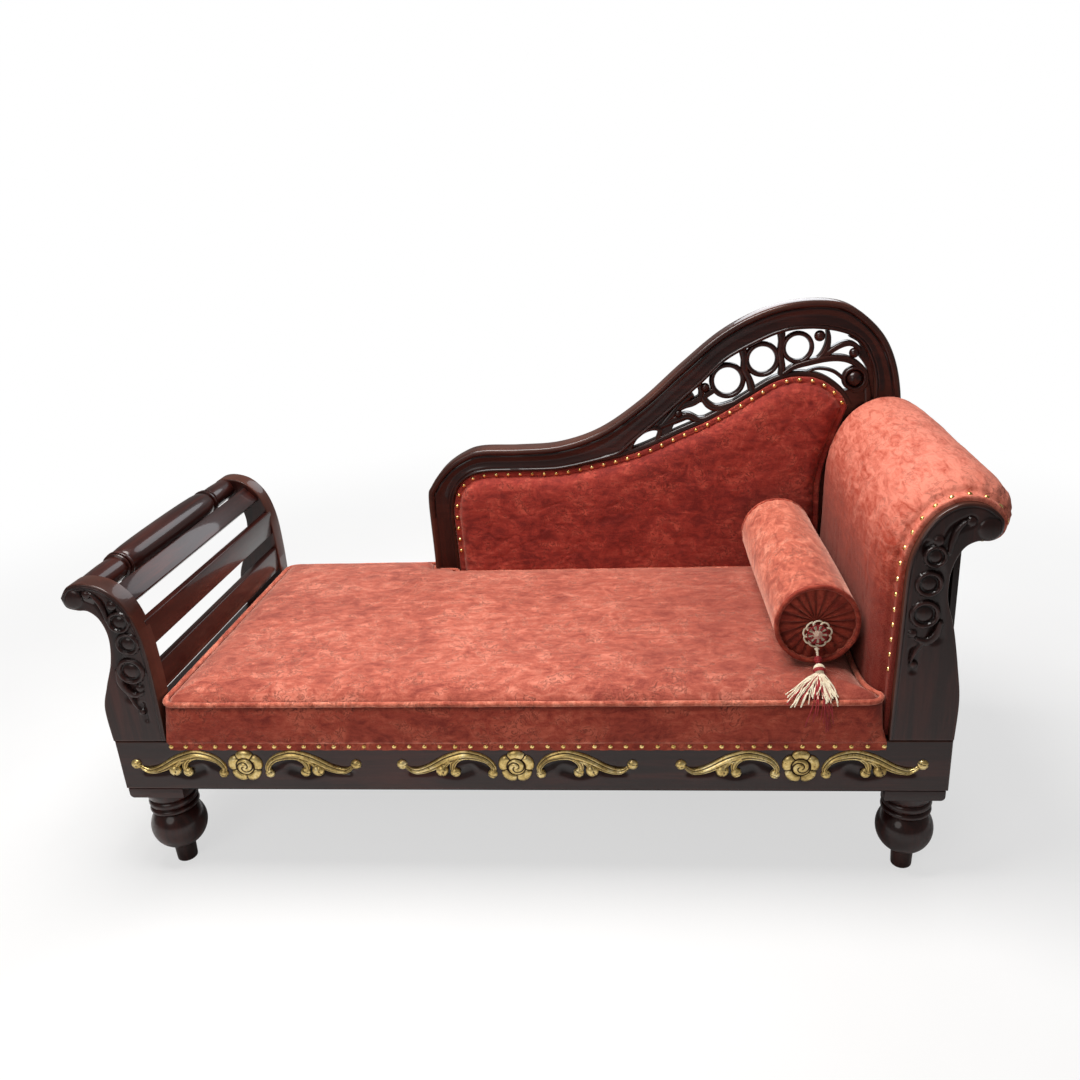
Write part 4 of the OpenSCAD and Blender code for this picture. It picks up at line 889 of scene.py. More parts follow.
def fillet_along(left, inset):
    """A thin raised line that follows the panel's inner edge."""
    def height(p):
        d = distance_to(p, left)[0]
        groove = np.exp(-((d - inset - 3) / 1.2) ** 2)
        return dome(d - inset, 1.5, 1.1) - groove * 0.8, groove * 0.6
    return height


foot_lines = side_lines(FOOT_INNER, FOOT_OUTER, FOOT_X, -FOOT_W, FOOT_H)
panel = carved_panel("foot_panel_front", foot_lines, FOOT_PATTERN, 84, 250, 0, RAIL_T, 3.0,
                     fillet_along(foot_lines[2], 6))
wooden(panel, wood_z, "foot_panel_front", way="carved")
plain_panel = carved_panel("foot_panel_back", foot_lines, [], 20, 120, BACK_Y, DEPTH, 3.0)
wooden(plain_panel, wood_z, "foot_panel_back", way="sawn")

# %% [markdown]
# Between the foot arm's panels run four slats and a turned rail. The slats are boards let into the
# panels, the top one tilted to follow the scroll. The rail is turned with slim ends and a pair of
# beads on each side of its swelling middle, and then laid along the arm.

# %% Slats and turned rail
for name, x, z in (("foot_slat_base", -695, 317), ("foot_slat_lower", -695, 412),
                   ("foot_slat_upper", -698, 507)):
    slat = board(name, (x - 16, 30, z), (x, 660, z + 56), 2.2)
    wooden(slat, wood_y, name, way="board")
SLAT_TURN = math.radians(134)
corner = np.array([-719.2, 598.2])
middle = corner + [22 * math.cos(SLAT_TURN) - 8 * math.sin(SLAT_TURN),
                   22 * math.sin(SLAT_TURN) + 8 * math.cos(SLAT_TURN)]
top_slat = board("foot_slat_top", (middle[0] - 22, 30, middle[1] - 8),
                 (middle[0] + 22, 660, middle[1] + 8), 2.4, turn=-SLAT_TURN)
wooden(top_slat, wood_y, "foot_slat_top", way="board")

HALF_RAIL = [(33, 0), (32.8, 60), (32.2, 110), (31.2, 150), (29.4, 178), (26.4, 186), (24.6, 188.4),
             (29.6, 189.4), (30.4, 192), (30.4, 195), (29.4, 197.4), (24.4, 198.6), (24.4, 201), (28.4, 202),
             (29.2, 204), (28.4, 206), (24.2, 207.4), (25.2, 225), (25.4, 250), (24.2, 285), (23.4, 302),
             (23.4, 304)]
whole_rail = [(r, -z) for r, z in HALF_RAIL[::-1]] + HALF_RAIL[1:]
rail = turned("foot_turned_rail", whole_rail, CENTRE[:2], 48)
p = points_of(rail) / MM
shaped(rail, p[:, 0] - 800.0, p[:, 2] + 345.0, 627.8 - p[:, 1])
wooden(cleaned(rail), wood_y, "foot_turned_rail", way="turned", degrees=32)

# %% [markdown]
# The head arm's front panel is taller and its scroll reaches further out. The roll's padding goes
# round its outer edge, so the carving keeps to the inner part of the face, down to a leaf and a bud.

# %% Head arm panel and board
HEAD_INNER = [(0, 0), (0.018, 0.226), (0.037, 0.475), (0.061, 0.73), (0.135, 0.846), (0.301, 0.947),
              (0.54, 1), (0.785, 0.996), (0.975, 0.943), (0.99, 0.888)]
HEAD_OUTER = [(0.718, 0), (0.73, 0.182), (0.675, 0.336), (0.595, 0.499), (0.503, 0.622), (0.509, 0.736),
              (0.601, 0.82), (0.73, 0.853), (0.9, 0.858), (0.99, 0.888)]
HEAD_X, HEAD_W, HEAD_H = 684.0, 163.0, 455.0
HEAD_PATTERN = [
    ("scoop", [(722, 700), (744, 650), (744, 590), (748, 530)], (14, 18, 22, 22), 5.0),
    ("scoop", [(790, 742), (764, 728), (752, 700)], (15, 14, 12), 4.0),
    ("scoop", [(716, 500), (716, 462)], (15, 10), 4.0),
    ("ring", (738, 680), 20.5, 5.2), ("ring", (731, 630), 24, 5.6), ("ring", (728, 573), 26.5, 5.8),
    ("dome", (824, 728), 20, 5.0), ("dome", (792, 742), 8.5, 4.6), ("dome", (741, 709), 9.5, 4.8),
    ("ribbon", [(782, 742), (770, 727), (764, 708), (760, 686)], (3, 5, 5, 3.5), 4.2),
    ("ribbon", [(756, 556), (750, 533), (735, 520), (719, 525)], (5, 7.5, 7.5, 4), 4.4),
    ("dome", (710, 536), 8, 4.8),
    ("ribbon", [(727, 517), (717, 499), (711, 482)], (4.5, 4, 2.5), 3.6),
    ("dome", (716, 475), 7, 4.0),
]
head_lines = side_lines(HEAD_INNER, HEAD_OUTER, HEAD_X, HEAD_W, HEAD_H)
panel = carved_panel("head_panel_front", head_lines, HEAD_PATTERN, 84, 300, 0, RAIL_T, 2.6,
                     fillet_along(head_lines[2], 4))
wooden(panel, wood_z, "head_panel_front", way="carved")
outer_board = board("head_outer_board", (781.8, 42, 317), (793.8, 630, 681), 1.5)
wooden(outer_board, wood_z, "head_outer_board", way="board")

# %% [markdown]
# The front rail is one plank with three carved fields. Each field has a rose between two mirrored
# scrolls: the ground is scooped out of the rail, and the gilded parts stand in it. The scrolls are
# ribbons with a ridge and two cut lines, and each ends in a ball. Half a field is written once, as
# places from the rose's centre, and mirrored.

# %% Pattern of the gilded carving
MAIN_SCROLL = [(-214, -2), (-205, -9), (-193, -12), (-170, -5), (-137, 13), (-112, 22), (-94, 25), (-70, 20),
               (-54, 11), (-44, -4), (-46, -14)]
MAIN_WIDTH = (7, 10, 13, 17, 21, 23, 22, 18, 14, 11, 9)
INNER_SCROLL, INNER_WIDTH = [(-110, 18), (-120, 9), (-124, -3), (-121, -12)], (14, 13, 11, 9)
LEAF_STEM, LEAF_WIDTH = [(-129, 13), (-137, 5), (-143, -5)], (13, 12, 9)
END_BALLS = [((-222, 4), 10.4, 0.3), ((-47, -17), 9.4, -0.4), ((-119, -14), 10, 0.5),
             ((-145, -10), 12.4, 1.2)]
ROSES = {"gilt_carving_foot": -543, "gilt_carving_middle": -8, "gilt_carving_head": 527}
ROSE_Z = 262.5
GILT_BACK = 5.0
GROUND_SCOOPS = [
    ([(-205, -14), (-170, -10), (-137, 4), (-112, 12), (-94, 14), (-70, 8), (-54, -2)],
     (14, 17, 22, 24, 24, 21, 17)),
    ([(-148, -12), (-118, -18), (-90, -8)], (18, 18, 20))]


def field_places(centre, points, side):
    p = np.asarray(points, float)
    return np.stack([centre - side * p[:, 0], ROSE_Z + p[:, 1]], axis=1)


# %% Front rail
rail_pattern = []
for centre in ROSES.values():
    rail_pattern.append(("scoop", (centre, ROSE_Z), 46, 4.5))
    for side in (-1, 1):
        for line, widths in GROUND_SCOOPS:
            rail_pattern.append(("scoop", field_places(centre, line, side), widths, 5.0))
front, u, v = grid("front_rail", 800, 56)
p = np.stack([-RAIL_END + 2 * RAIL_END * u, RAIL_Z + (DECK_Z - RAIL_Z) * crowded(v, 0.5)], axis=1)
height, shade = carved(p, rail_pattern)
edge = np.minimum(RAIL_END - np.abs(p[:, 0]), np.minimum(p[:, 1] - RAIL_Z, DECK_Z - p[:, 1]))
shaped(front, p[:, 0], eased_edge(edge, 2.4) - height * np.clip(edge / 4, 0, 1), p[:, 1])
# painted shade on the scooped ground, darker the deeper it is cut
keep(front, "recess", np.clip(-height / 7, 0, 0.6))
keep(front, "rubbed", np.exp(-(edge / 2.5) ** 2))
backed(front, RAIL_T)
wooden(cleaned(front), wood_x, "front_rail", way="carved")

# %% Gilded scrolls, balls and rose
def ribbon(name, line, widths, height):
    """A carved ribbon along a flat line: rounded, with a ridge and two cut lines."""
    line = curve(line, 5)
    piece, u, v = grid(name, 18, len(line) - 1)
    k = np.rint(v * (len(line) - 1)).astype(int)
    s = 2 * u - 1
    w = np.interp(v, np.linspace(0, 1, len(widths)), widths) / 2
    flat = line[k] - leftward(line)[k] * (s * w)[:, None]
    cut = np.exp(-((np.abs(s) - 0.5) / 0.13) ** 2)
    h = height * (0.72 * np.sqrt(np.clip(1 - s * s, 0, 1)) + 0.28 * np.exp(-(s / 0.24) ** 2)) - 0.9 * cut
    h = h * np.clip(w / 5, 0.55, 1)
    shaped(piece, flat[:, 0], -h, flat[:, 1])
    # painted shade in the two cut lines
    keep(piece, "recess", cut * 0.95)
    backed(piece, GILT_BACK)
    return cleaned(piece)


def ball(name, place, r, cut_angle=None, depth=0.7, y=0.0):
    """A flattened carved ball with a cut line across it."""
    piece = sphere(name, r * MM)
    p = points_of(piece) / MM
    cut = np.zeros(len(p))
    if cut_angle is not None:
        across = p[:, 0] * math.sin(cut_angle) - p[:, 2] * math.cos(cut_angle)
        cut = np.exp(-((across - 0.25 * r) / (0.1 * r)) ** 2) * (p[:, 1] < 0)
    p[:, 1] = p[:, 1] * depth + cut * 1.1
    set_points(piece, metres(p + [place[0], y, place[1]]))
    # painted shade in the cut line across the ball
    keep(piece, "recess", cut)
    return cleaned(piece)


def rose(name, x, z):
    """Five petals round a bud, as one face raised from a disc of points."""
    piece, u, v = grid(name, 110, 26)
    turn, r = 2 * math.pi * u, v
    lobes = np.abs(np.cos(2.5 * (turn - math.radians(18))))
    reach = 35 * (0.8 + 0.2 * lobes ** 0.5)
    rho = r * reach
    swelling = np.clip(np.sin(math.pi * np.clip((r - 0.42) / 0.6, 0, 1)), 0, 1) ** 0.6
    petal = 5.6 * swelling * (0.55 + 0.45 * lobes ** 0.4)
    swirl = 0.5 + 0.5 * np.cos(2.0 * turn - rho * 0.62)
    bud = 8.4 * np.clip(1 - (rho / 19.5) ** 2, 0, 1) ** 0.45 - 1.7 * (1 - swirl) ** 3 * (rho > 2.5)
    bud = np.where(rho < 18.5, bud, 0)
    seam = np.exp(-((rho - 18) / 1.6) ** 2) + np.exp(-(lobes / 0.16) ** 2) * (rho > 18)
    h = np.maximum(np.maximum(petal, bud) - 1.3 * np.clip(seam, 0, 1), 0.2)
    flat = np.stack([x + rho * np.cos(turn), z + rho * np.sin(turn)], axis=1)
    shaped(piece, flat[:, 0], -h, flat[:, 1])
    # painted shade in the rose's seams and the bud's spiral grooves
    keep(piece, "recess", np.clip(seam * 0.9 + (1 - swirl) ** 3 * (rho < 18) * (rho > 2.5) * 0.9, 0, 1))
    cleaned(piece, 0.05 * MM)
    backed(piece, GILT_BACK)
    return cleaned(piece)


def gilded_field(name, centre):
    parts = [rose(name + "_rose", centre, ROSE_Z)]
    for side in (-1, 1):
        for line, widths, h in ((MAIN_SCROLL, MAIN_WIDTH, 6.4), (INNER_SCROLL, INNER_WIDTH, 5.4),
                                (LEAF_STEM, LEAF_WIDTH, 5.0)):
            parts.append(ribbon(name + "_scroll", field_places(centre, line, side), widths, h))
        for place, r, cut in END_BALLS:
            at = field_places(centre, [place], side)[0]
            parts.append(ball(name + "_ball", at, r, cut if side < 0 else math.pi - cut))
    return joined(name, parts)


for name, centre in ROSES.items():
    handed_over(gilded_field(name, centre), old_gold, "frame", "gilding", name, way="gilded", degrees=50)

# %% [markdown]
# ## Back frame
# The back is two stiles and one long crest rail that climbs in a wave and comes down at the head.
# Its outer and inner edges are smooth lines, matched point by point, and the face between them is
# raised to a profile: a bead along each edge, a groove inside each bead and a dished middle. Loft
# and curve tools would give the sweep too, but not a face whose beads follow both edges.

# %% Lines of the back
BACK_X, BACK_LEN, BACK_H = -292.004, 1114.0, 711.0
STILE_IN, HEAD_STILE_IN = 0.054, 0.945
CREST_OUTER = [(0, 0), (0, 0.2), (0, 0.38), (0.01, 0.428), (0.041, 0.489), (0.083, 0.533), (0.125, 0.553),
               (0.208, 0.553), (0.295, 0.561), (0.382, 0.605), (0.469, 0.695), (0.553, 0.809), (0.634, 0.91),
               (0.714, 0.973), (0.792, 1), (0.871, 0.992), (0.926, 0.94), (0.969, 0.857), (0.994, 0.736),
               (1, 0.58), (0.988, 0.3), (0.98, 0)]
CREST_INNER = [(STILE_IN, 0), (STILE_IN, 0.2), (0.053, 0.326), (0.063, 0.402), (0.087, 0.449), (0.127, 0.471),
               (0.208, 0.473), (0.289, 0.475), (0.364, 0.497), (0.42, 0.522), (0.449, 0.558), (0.506, 0.631),
               (0.593, 0.747), (0.647, 0.824), (0.72, 0.883), (0.765, 0.907), (0.806, 0.913), (0.851, 0.907),
               (0.89, 0.889), (0.916, 0.858), (0.933, 0.809), (0.942, 0.76), (HEAD_STILE_IN, 0.699),
               (HEAD_STILE_IN, 0.55), (HEAD_STILE_IN, 0.3), (HEAD_STILE_IN, 0)]
PAD_TOP = [(STILE_IN, 0), (STILE_IN, 0.2), (0.053, 0.326), (0.063, 0.402), (0.087, 0.449), (0.127, 0.471),
           (0.208, 0.473), (0.289, 0.473), (0.364, 0.492), (0.458, 0.527), (0.542, 0.582), (0.621, 0.636),
           (0.693, 0.702), (0.747, 0.75), (0.792, 0.764), (0.837, 0.751), (0.876, 0.707), (0.893, 0.662)]
PAD_SIDE = [(0.844, 0.4), (0.852, 0.475), (0.873, 0.57), (0.893, 0.662)]
FINE = 16
PAD_FOOT = 352.0


def on_back(shares):
    return placed(shares, BACK_X, DECK_Z, BACK_LEN, BACK_H)


crest_outer, crest_inner = curve(on_back(CREST_OUTER), FINE), curve(on_back(CREST_INNER), FINE)


def matched(outer_at, inner_at, rows):
    """Two lines of equal count between pairs of matching stations on the outer and inner edge."""
    lines = []
    for line, at in ((crest_outer, outer_at), (crest_inner, inner_at)):
        index = np.interp(np.linspace(0, len(at) - 1, rows + 1), np.arange(len(at)), np.array(at) * FINE)
        lines.append(np.stack([np.interp(index, np.arange(len(line)), line[:, k]) for k in (0, 1)], axis=1))
    return lines


def station_at(line, z, rising):
    """Station where a line passes a height, from the left foot or from the right one."""
    order = np.arange(len(line)) if rising else np.arange(len(line))[::-1]
    k = order[np.argmax(line[order, 1] > z)]
    before = k - 1 if rising else k + 1
    share = (z - line[before, 1]) / (line[k, 1] - line[before, 1])
    return (before + share * (k - before)) / FINE


def ladder(name, outer, inner, across, y0, y1, face):
    """A rail between two matched lines, with its face raised to a profile."""
    rows = len(outer) - 1
    piece, u, v = grid(name, across, rows)
    k = np.rint(v * rows).astype(int)
    s = crowded(u, 0.55)[:, None]
    p = outer[k] * (1 - s) + inner[k] * s
    from_outer, from_inner = distance_to(p, outer)[0], distance_to(p, inner)[0]
    edge = np.minimum(from_outer, from_inner)
    height, shade = face(from_outer, from_inner)
    shaped(piece, p[:, 0], y0 - height * np.clip(edge / 3, 0, 1) + eased_edge(edge, 3.5), p[:, 1])
    # painted shade in the grooves inside the beads
    keep(piece, "recess", shade)
    keep(piece, "rubbed", np.exp(-((from_outer - 6) / 3) ** 2) + np.exp(-(edge / 2.5) ** 2))
    backed(piece, y1)
    return cleaned(piece, 0.05 * MM)


def crest_face(from_outer, from_inner):
    groove = np.exp(-((from_outer - 17) / 1.6) ** 2) + 0.9 * np.exp(-((from_inner - 9) / 1.3) ** 2)
    beads = dome(from_outer - 8.2, 7.4, 4.2) + dome(from_inner - 4.6, 3.4, 2.2)
    middle = np.clip(np.minimum(from_outer - 17.5, from_inner - 9) / 20, 0, 1)
    return beads - 1.6 * groove - 3.2 * np.sin(middle * math.pi / 2), np.clip(groove * 0.9, 0, 1)


# %% Stiles and crest rail
FOOT_CUT, HEAD_CUT = DECK_Z + BACK_H * 0.3136, DECK_Z + BACK_H * 0.5387
foot_out, foot_in = (station_at(line, FOOT_CUT, True) for line in (crest_outer, crest_inner))
head_out, head_in = (station_at(line, HEAD_CUT, False) for line in (crest_outer, crest_inner))
stile = ladder("back_left_stile", *matched([0, foot_out], [0, foot_in], 60), 26, BACK_Y, DEPTH, crest_face)
wooden(stile, wood_z, "back_left_stile", way="moulded")
stile = ladder("back_right_stile", *matched([head_out, 21], [head_in, 25], 90), 26, BACK_Y, DEPTH, crest_face)
wooden(stile, wood_z, "back_right_stile", way="moulded")
crest = ladder("back_crest_rail", *matched(
    [foot_out, 3, 4, 5, 6, 7, 8, 9, 10, 11, 12, 13, 14, 15, 16, 17, 18, head_out],
    [foot_in, 3, 3.9, 4.5, 5.2, 6, 7.2, 9, 11, 12, 13.2, 14.2, 16, 17.4, 18.8, 19.9, 21.6, head_in], 330),
    40, BACK_Y, DEPTH, crest_face)
wooden(crest, wood_x, "back_crest_rail", way="moulded")

# %% [markdown]
# ## Pierced carving
# Between the crest rail and the pad runs a pierced carving: a solid web with a leaf-shaped eye, a
# chain of three rings, a long scroll that ends in a volute, and leaves that curl to small balls.
# Each part is a strap, ring or ball with a rounded face, so they are modelled one by one and
# joined, as a carver would leave them standing out of one board.

# %% Straps, rings and the web
FRET_Y, FRET_BACK = 655.0, 679.0
rear_steps = itertools.count()


def strap(name, line, widths, height=5.0, steps=8, across=14, y=FRET_Y, hollow=0.0):
    """A rounded strap along a flat line, with an optional hollow down its middle.

    The straps cross each other, so their flat rears are set at slightly different depths.
    """
    line = curve(line, steps)
    piece, u, v = grid(name, across, len(line) - 1)
    k = np.rint(v * (len(line) - 1)).astype(int)
    s = np.sin((u - 0.5) * math.pi)
    w = np.interp(v, np.linspace(0, 1, np.size(widths)), np.atleast_1d(widths)) / 2
    flat = line[k] - leftward(line)[k] * (s * w)[:, None]
    trough = np.exp(-(s / 0.42) ** 2)
    h = height * np.sqrt(np.clip(1 - s * s, 0, 1)) - hollow * trough
    shaped(piece, flat[:, 0], y + height - h, flat[:, 1])
    # painted shade in the hollow down the strap's middle
    keep(piece, "recess", trough * min(hollow / 3, 0.6))
    keep(piece, "rubbed", np.exp(-((np.abs(s) - 0.6) / 0.2) ** 2) * 0.5)
    backed(piece, FRET_BACK - 0.35 * (next(rear_steps) % 20))
    return cleaned(piece)


def hoop(name, centre, outer, bore, y=667.0, depth=11.5):
    """A carved ring whose section is a broad oval."""
    middle, half = (outer + bore) / 2, (outer - bore) / 2
    turn = np.linspace(0, 2 * math.pi, 72, endpoint=False)
    across, up_by = middle * np.cos(turn), middle * np.sin(turn)
    path = np.column_stack([centre[0] + across, np.full(72, y), centre[1] + up_by])
    return tube(name, path, half, 18, closed=True, flat=depth / half, up=(0, -1, 0))


def web(name, outline, hole, y0, y1):
    """A board between an outline and a hole, with the hole's edge rounded and a bead and a groove round it.
    """
    middle = hole.mean(0)
    turn = np.arctan2(*(hole - middle).T[::-1])
    far = []
    closed_outline = np.vstack([outline, outline[:1]])
    for a in turn:
        d = np.array([math.cos(a), math.sin(a)])
        p, q = closed_outline[:-1] - middle, closed_outline[1:] - closed_outline[:-1]
        cross = d[0] * q[:, 1] - d[1] * q[:, 0]
        with np.errstate(divide="ignore", invalid="ignore"):
            reach = (p[:, 0] * q[:, 1] - p[:, 1] * q[:, 0]) / cross
            share = (p[:, 0] * d[1] - p[:, 1] * d[0]) / cross
        far.append(middle + d * reach[(reach > 0) & (share >= 0) & (share <= 1)].min())
    far = np.array(far)
    piece, u, v = grid(name, len(hole), 14)
    k = np.rint(u * len(hole)).astype(int) % len(hole)
    s = crowded(v, 0.8)[:, None]
    p = hole[k] * (1 - s) + far[k] * s
    edge = distance_to(p, np.vstack([hole, hole[:1]]))[0]
    groove = np.exp(-((edge - 11.5) / 1.3) ** 2)
    height = dome(edge - 5, 5, 1.6) - 1.2 * groove
    shaped(piece, p[:, 0], y0 - height + eased_edge(edge, 4), p[:, 1])
    # painted shade in the groove round the eye
    keep(piece, "recess", groove * 0.8)
    keep(piece, "rubbed", np.exp(-((edge - 4) / 3) ** 2) * 0.6)
    cleaned(piece, 0.02 * MM)
    rim_drawn_back(piece, y1, "EDGE")
    bpy.ops.mesh.bridge_edge_loops()
    object_mode()
    return cleaned(piece)


def plate(name, across, along, left, right, y, back):
    """A flat plate between two lines that run upwards."""
    piece, u, v = grid(name, across, along)
    p = patch(np.array([left[0], right[0]]), np.array([left[-1], right[-1]]), left, right, u, v)
    shaped(piece, p[:, 0], y, p[:, 1])
    backed(piece, back)
    return cleaned(piece)


# %% Carving of the back
FRET_START = 134
pad_top = curve(on_back(PAD_TOP), 12)
rim_line = pushed(pad_top, 4.5)
rim_line = rim_line[rim_line[:, 0] > FRET_START]
fret = [strap("fret_rim", rim_line[::3], (17, 16, 15, 14, 14), 6.0, 3, 14)]
turn = np.linspace(0, 2 * math.pi, 96, endpoint=False)
narrowing = 0.35 + 0.65 * np.abs(np.sin(turn)) ** 0.8
lens = np.stack([37.5 * np.cos(turn), 15.5 * np.sin(turn) * narrowing], axis=1)
lean = math.radians(39)
eye = lens @ np.array([[math.cos(lean), math.sin(lean)], [-math.sin(lean), math.cos(lean)]]) + [239, 717]
inner_part = pushed(crest_inner, 8)
inner_part = inner_part[(inner_part[:, 0] > FRET_START) & (inner_part[:, 0] < 300) & (inner_part[:, 1] > 650)]
pad_part = pushed(pad_top, 4)
pad_part = pad_part[(pad_part[:, 0] > FRET_START) & (pad_part[:, 0] < 296) & (pad_part[:, 1] > 600)]
outline = np.vstack([inner_part, [[307, 792], [278, 763], [312, 765]], pad_part[::-1]])
fret.append(web("fret_web", outline, eye, FRET_Y + 2, FRET_BACK))
fret += [
    strap("fret_branch", [(276, 752), (296, 760), (318, 768), (340, 774), (364, 764), (388, 768)],
          (18, 20, 19, 16, 13), 6.5),
    strap("fret_branch", [(282, 756), (300, 775), (316, 795), (331, 812), (352, 826)],
          (16, 21, 20, 17, 14), 6.5),
    strap("fret_branch", [(308, 787), (330, 800), (352, 806), (374, 818), (402, 834)],
          (18, 19, 18, 16, 13), 6.5, hollow=1.4),
    strap("fret_branch", [(366, 808), (372, 828), (366, 850), (352, 866)], (14, 15, 14, 11), 6.0),
    strap("fret_branch", [(374, 818), (388, 799), (410, 791), (450, 803)], (14, 17, 17, 14), 6.0),
    ball("fret_ball", (318, 781), 10, depth=1.0, y=659),
    ball("fret_ball", (380, 841), 10.5, depth=1.0, y=659),
]
for centre, outer, bore in (((431, 854), 42, 29.5), ((509, 900), 41, 28.5), ((588, 924), 37, 26)):
    fret.append(hoop("fret_ring", centre, outer, bore))
fret += [
    strap("fret_bar", [(469, 876), (469, 902), (463, 930)], (18, 16, 20), 6.0),
    strap("fret_bar", [(468, 878), (481, 853), (488, 828)], (16, 17, 20), 6.0),
    strap("fret_bar", [(549, 910), (552, 938), (550, 962)], (16, 15, 19), 6.0),
    strap("fret_bar", [(548, 914), (554, 880), (552, 850)], (15, 16, 19), 6.0),
    strap("fret_scroll", [(556, 866), (580, 881), (612, 890), (654, 898), (688, 897), (714, 887), (735, 868),
                          (742, 848), (736, 830), (720, 823), (706, 832)],
          (9, 13, 15, 16, 16, 15, 14, 13, 12, 10, 7), 8.0, hollow=1.8, y=651),
    strap("fret_leaf", [(619, 889), (640, 902), (652, 922), (655, 944), (652, 962)],
          (9, 13, 14, 11, 7), 7.0, hollow=1.6, y=652),
    strap("fret_leaf", [(640, 896), (662, 915), (686, 928), (706, 929), (722, 918), (722, 906)],
          (9, 13, 14, 12, 10, 7), 7.0, hollow=1.6, y=652),
    ball("fret_knob", (635, 949), 12.5, depth=0.95, y=659),
    ball("fret_knob", (712, 909), 11.5, depth=0.95, y=657),
    hoop("fret_volute", (716, 851), 29, 17.5, y=663, depth=12),
    ball("fret_volute_ball", (716, 851), 18.5, 0.9, depth=0.9, y=660),
    strap("fret_crescent", [(604, 862), (624, 874), (648, 874), (672, 866), (692, 850)],
          (9, 7, 7, 8, 9), 4.5, y=657),
    strap("fret_tail", [(742, 846), (748, 812), (752, 770), (753, 720)], (16, 18, 20, 22), 5.0, y=654),
]
inner_side = crest_inner[(crest_inner[:, 0] > 700) & (crest_inner[:, 1] < 830)] + [6, 0]
pad_edge = np.vstack([curve(on_back(PAD_SIDE), 12), pad_top[::-1][:14]])
left_line = resampled(np.vstack([[pad_edge[0, 0] - 8, PAD_FOOT], pad_edge - [8, 0]]), np.linspace(0, 1, 60))
right_line = resampled(inner_side[::-1], np.linspace(0, 1, 60))
right_line = right_line[right_line[:, 1] > PAD_FOOT]
right_line = np.vstack([[right_line[0, 0], PAD_FOOT], right_line])
fret.append(plate("fret_side", 24, 60, left_line, right_line, FRET_Y + 3, FRET_BACK + 0.4))
corner_line = [(700, 800), (716, 824), (744, 836), (746, 862), (736, 884), (724, 900), (728, 916), (722, 930),
               (700, 944)]
left_line = resampled(curve(corner_line, 6), np.linspace(0, 1, 50))
inner_side = crest_inner[(crest_inner[:, 0] > 699) & (crest_inner[:, 1] > 800)] + [6, 0]
right_line = resampled(inner_side[::-1], np.linspace(0, 1, 50))
fret.append(plate("fret_corner", 20, 50, left_line, right_line, FRET_Y + 5, FRET_BACK + 0.8))
wooden(joined("back_fretwork", fret), wood_x, "back_fretwork", way="pierced")

# %% [markdown]
# ## Seat
# The seat is sprung and stuffed, so its top is a soft crown that falls quickly to the piping, and
# velvet never lies quite flat on stuffing. The top is a fine grid, raised by its distance to the
# edge, with slow swells and short creases over it. A Subdivision modifier on a box would round the
# corners too, but it wouldn't keep the notch where the back's stile stands.

# %% Seat outline
EDGE_Z, SEAT_RISE = 398.0, 32.0
FOOT_END, HEAD_END, CORNER_R = -686.0, 672.0, 28
FOOT_BEND, HEAD_BEND = FOOT_END + CORNER_R, HEAD_END - CORNER_R
FRONT_BEND, REAR_BEND = 20, 662
HEAD_SIDE = [(20, 672), (35.4, 658), (53.6, 648.7), (81.6, 643.5), (126.4, 641), (629, 641)]


def seat_ring(d):
    """The seat's outline, moved in by d."""
    r = CORNER_R
    c = [*arc(FOOT_BEND, FRONT_BEND, r, 180, 270, 8), *arc(HEAD_BEND, FRONT_BEND, r, -90, 0, 8),
         *[(x, y) for y, x in HEAD_SIDE[1:5]], *arc(613, 601, r, 0, 90, 8), (-231.8, 629), (-235.3, 647.7),
         (-292.3, 647.7), (-292.3, DEPTH), *arc(FOOT_BEND, REAR_BEND, r, 90, 180, 8)]
    c = np.array(c, float)
    a, b = c - np.roll(c, 1, 0), np.roll(c, -1, 0) - c
    s = a / np.linalg.norm(a, axis=1)[:, None] + b / np.linalg.norm(b, axis=1)[:, None]
    return c + np.stack([-s[:, 1], s[:, 0]], axis=1) * (2 * d / (s * s).sum(1))[:, None]


def round_and_back(c):
    return np.vstack([c, c[:1]])


def creased(x, y, seed):
    """Short sharp creases of crushed pile, as heights of 0 to 1."""
    lines = np.abs(ripple(x, y, seed, 170, 4))
    return np.exp(-(lines / 0.09) ** 2) * np.clip(0.4 + ripple(x, y, seed + 1, 300, 2) * 1.4, 0, 1)


# %% Seat cushion
seat, u, v = grid("seat_cushion", 300, 150)
knots = [(0, -686), (0.04, -650), (0.27, -300), (0.285, -291), (0.31, -240), (0.32, -230), (0.96, 640),
         (1, 672)]
x = np.interp(crowded(u, 0.2), *np.array(knots).T)
foot_round, head_round = (np.sqrt(np.clip(CORNER_R ** 2 - (x - middle) ** 2, 0, None))
                          for middle in (FOOT_BEND, HEAD_BEND))
front_y = np.where(x > HEAD_BEND, FRONT_BEND - head_round, FRONT_BEND - CORNER_R)
front_y = np.where(x < FOOT_BEND, FRONT_BEND - foot_round, front_y)
rear_y = np.interp(x, [FOOT_BEND, -292.3, -290, -235.3, -231.8, 613], [DEPTH, DEPTH, 647.7, 647.7, 629, 629])
rear_y = np.where(x < FOOT_BEND, REAR_BEND + foot_round, rear_y)
y = front_y + crowded(v, 0.35) * (rear_y - front_y)
x = FOOT_END + (x - FOOT_END) * (np.interp(y, *np.array(HEAD_SIDE).T) - FOOT_END) / (HEAD_END - FOOT_END)
flat = np.stack([x, y], axis=1)
from_edge = distance_to(flat, round_and_back(seat_ring(0)))[0]
deep = np.clip(from_edge - 6, 0, None)
rise = SEAT_RISE * (1 - 0.55 * np.exp(-deep / 15) - 0.45 * np.exp(-deep / 42))
worn = np.clip(deep / 45, 0, 1)
swell = 1.5 * ripple(x, y, 3, 420, 2) + 0.7 * ripple(x, y, 5, 120, 3) - 1.3
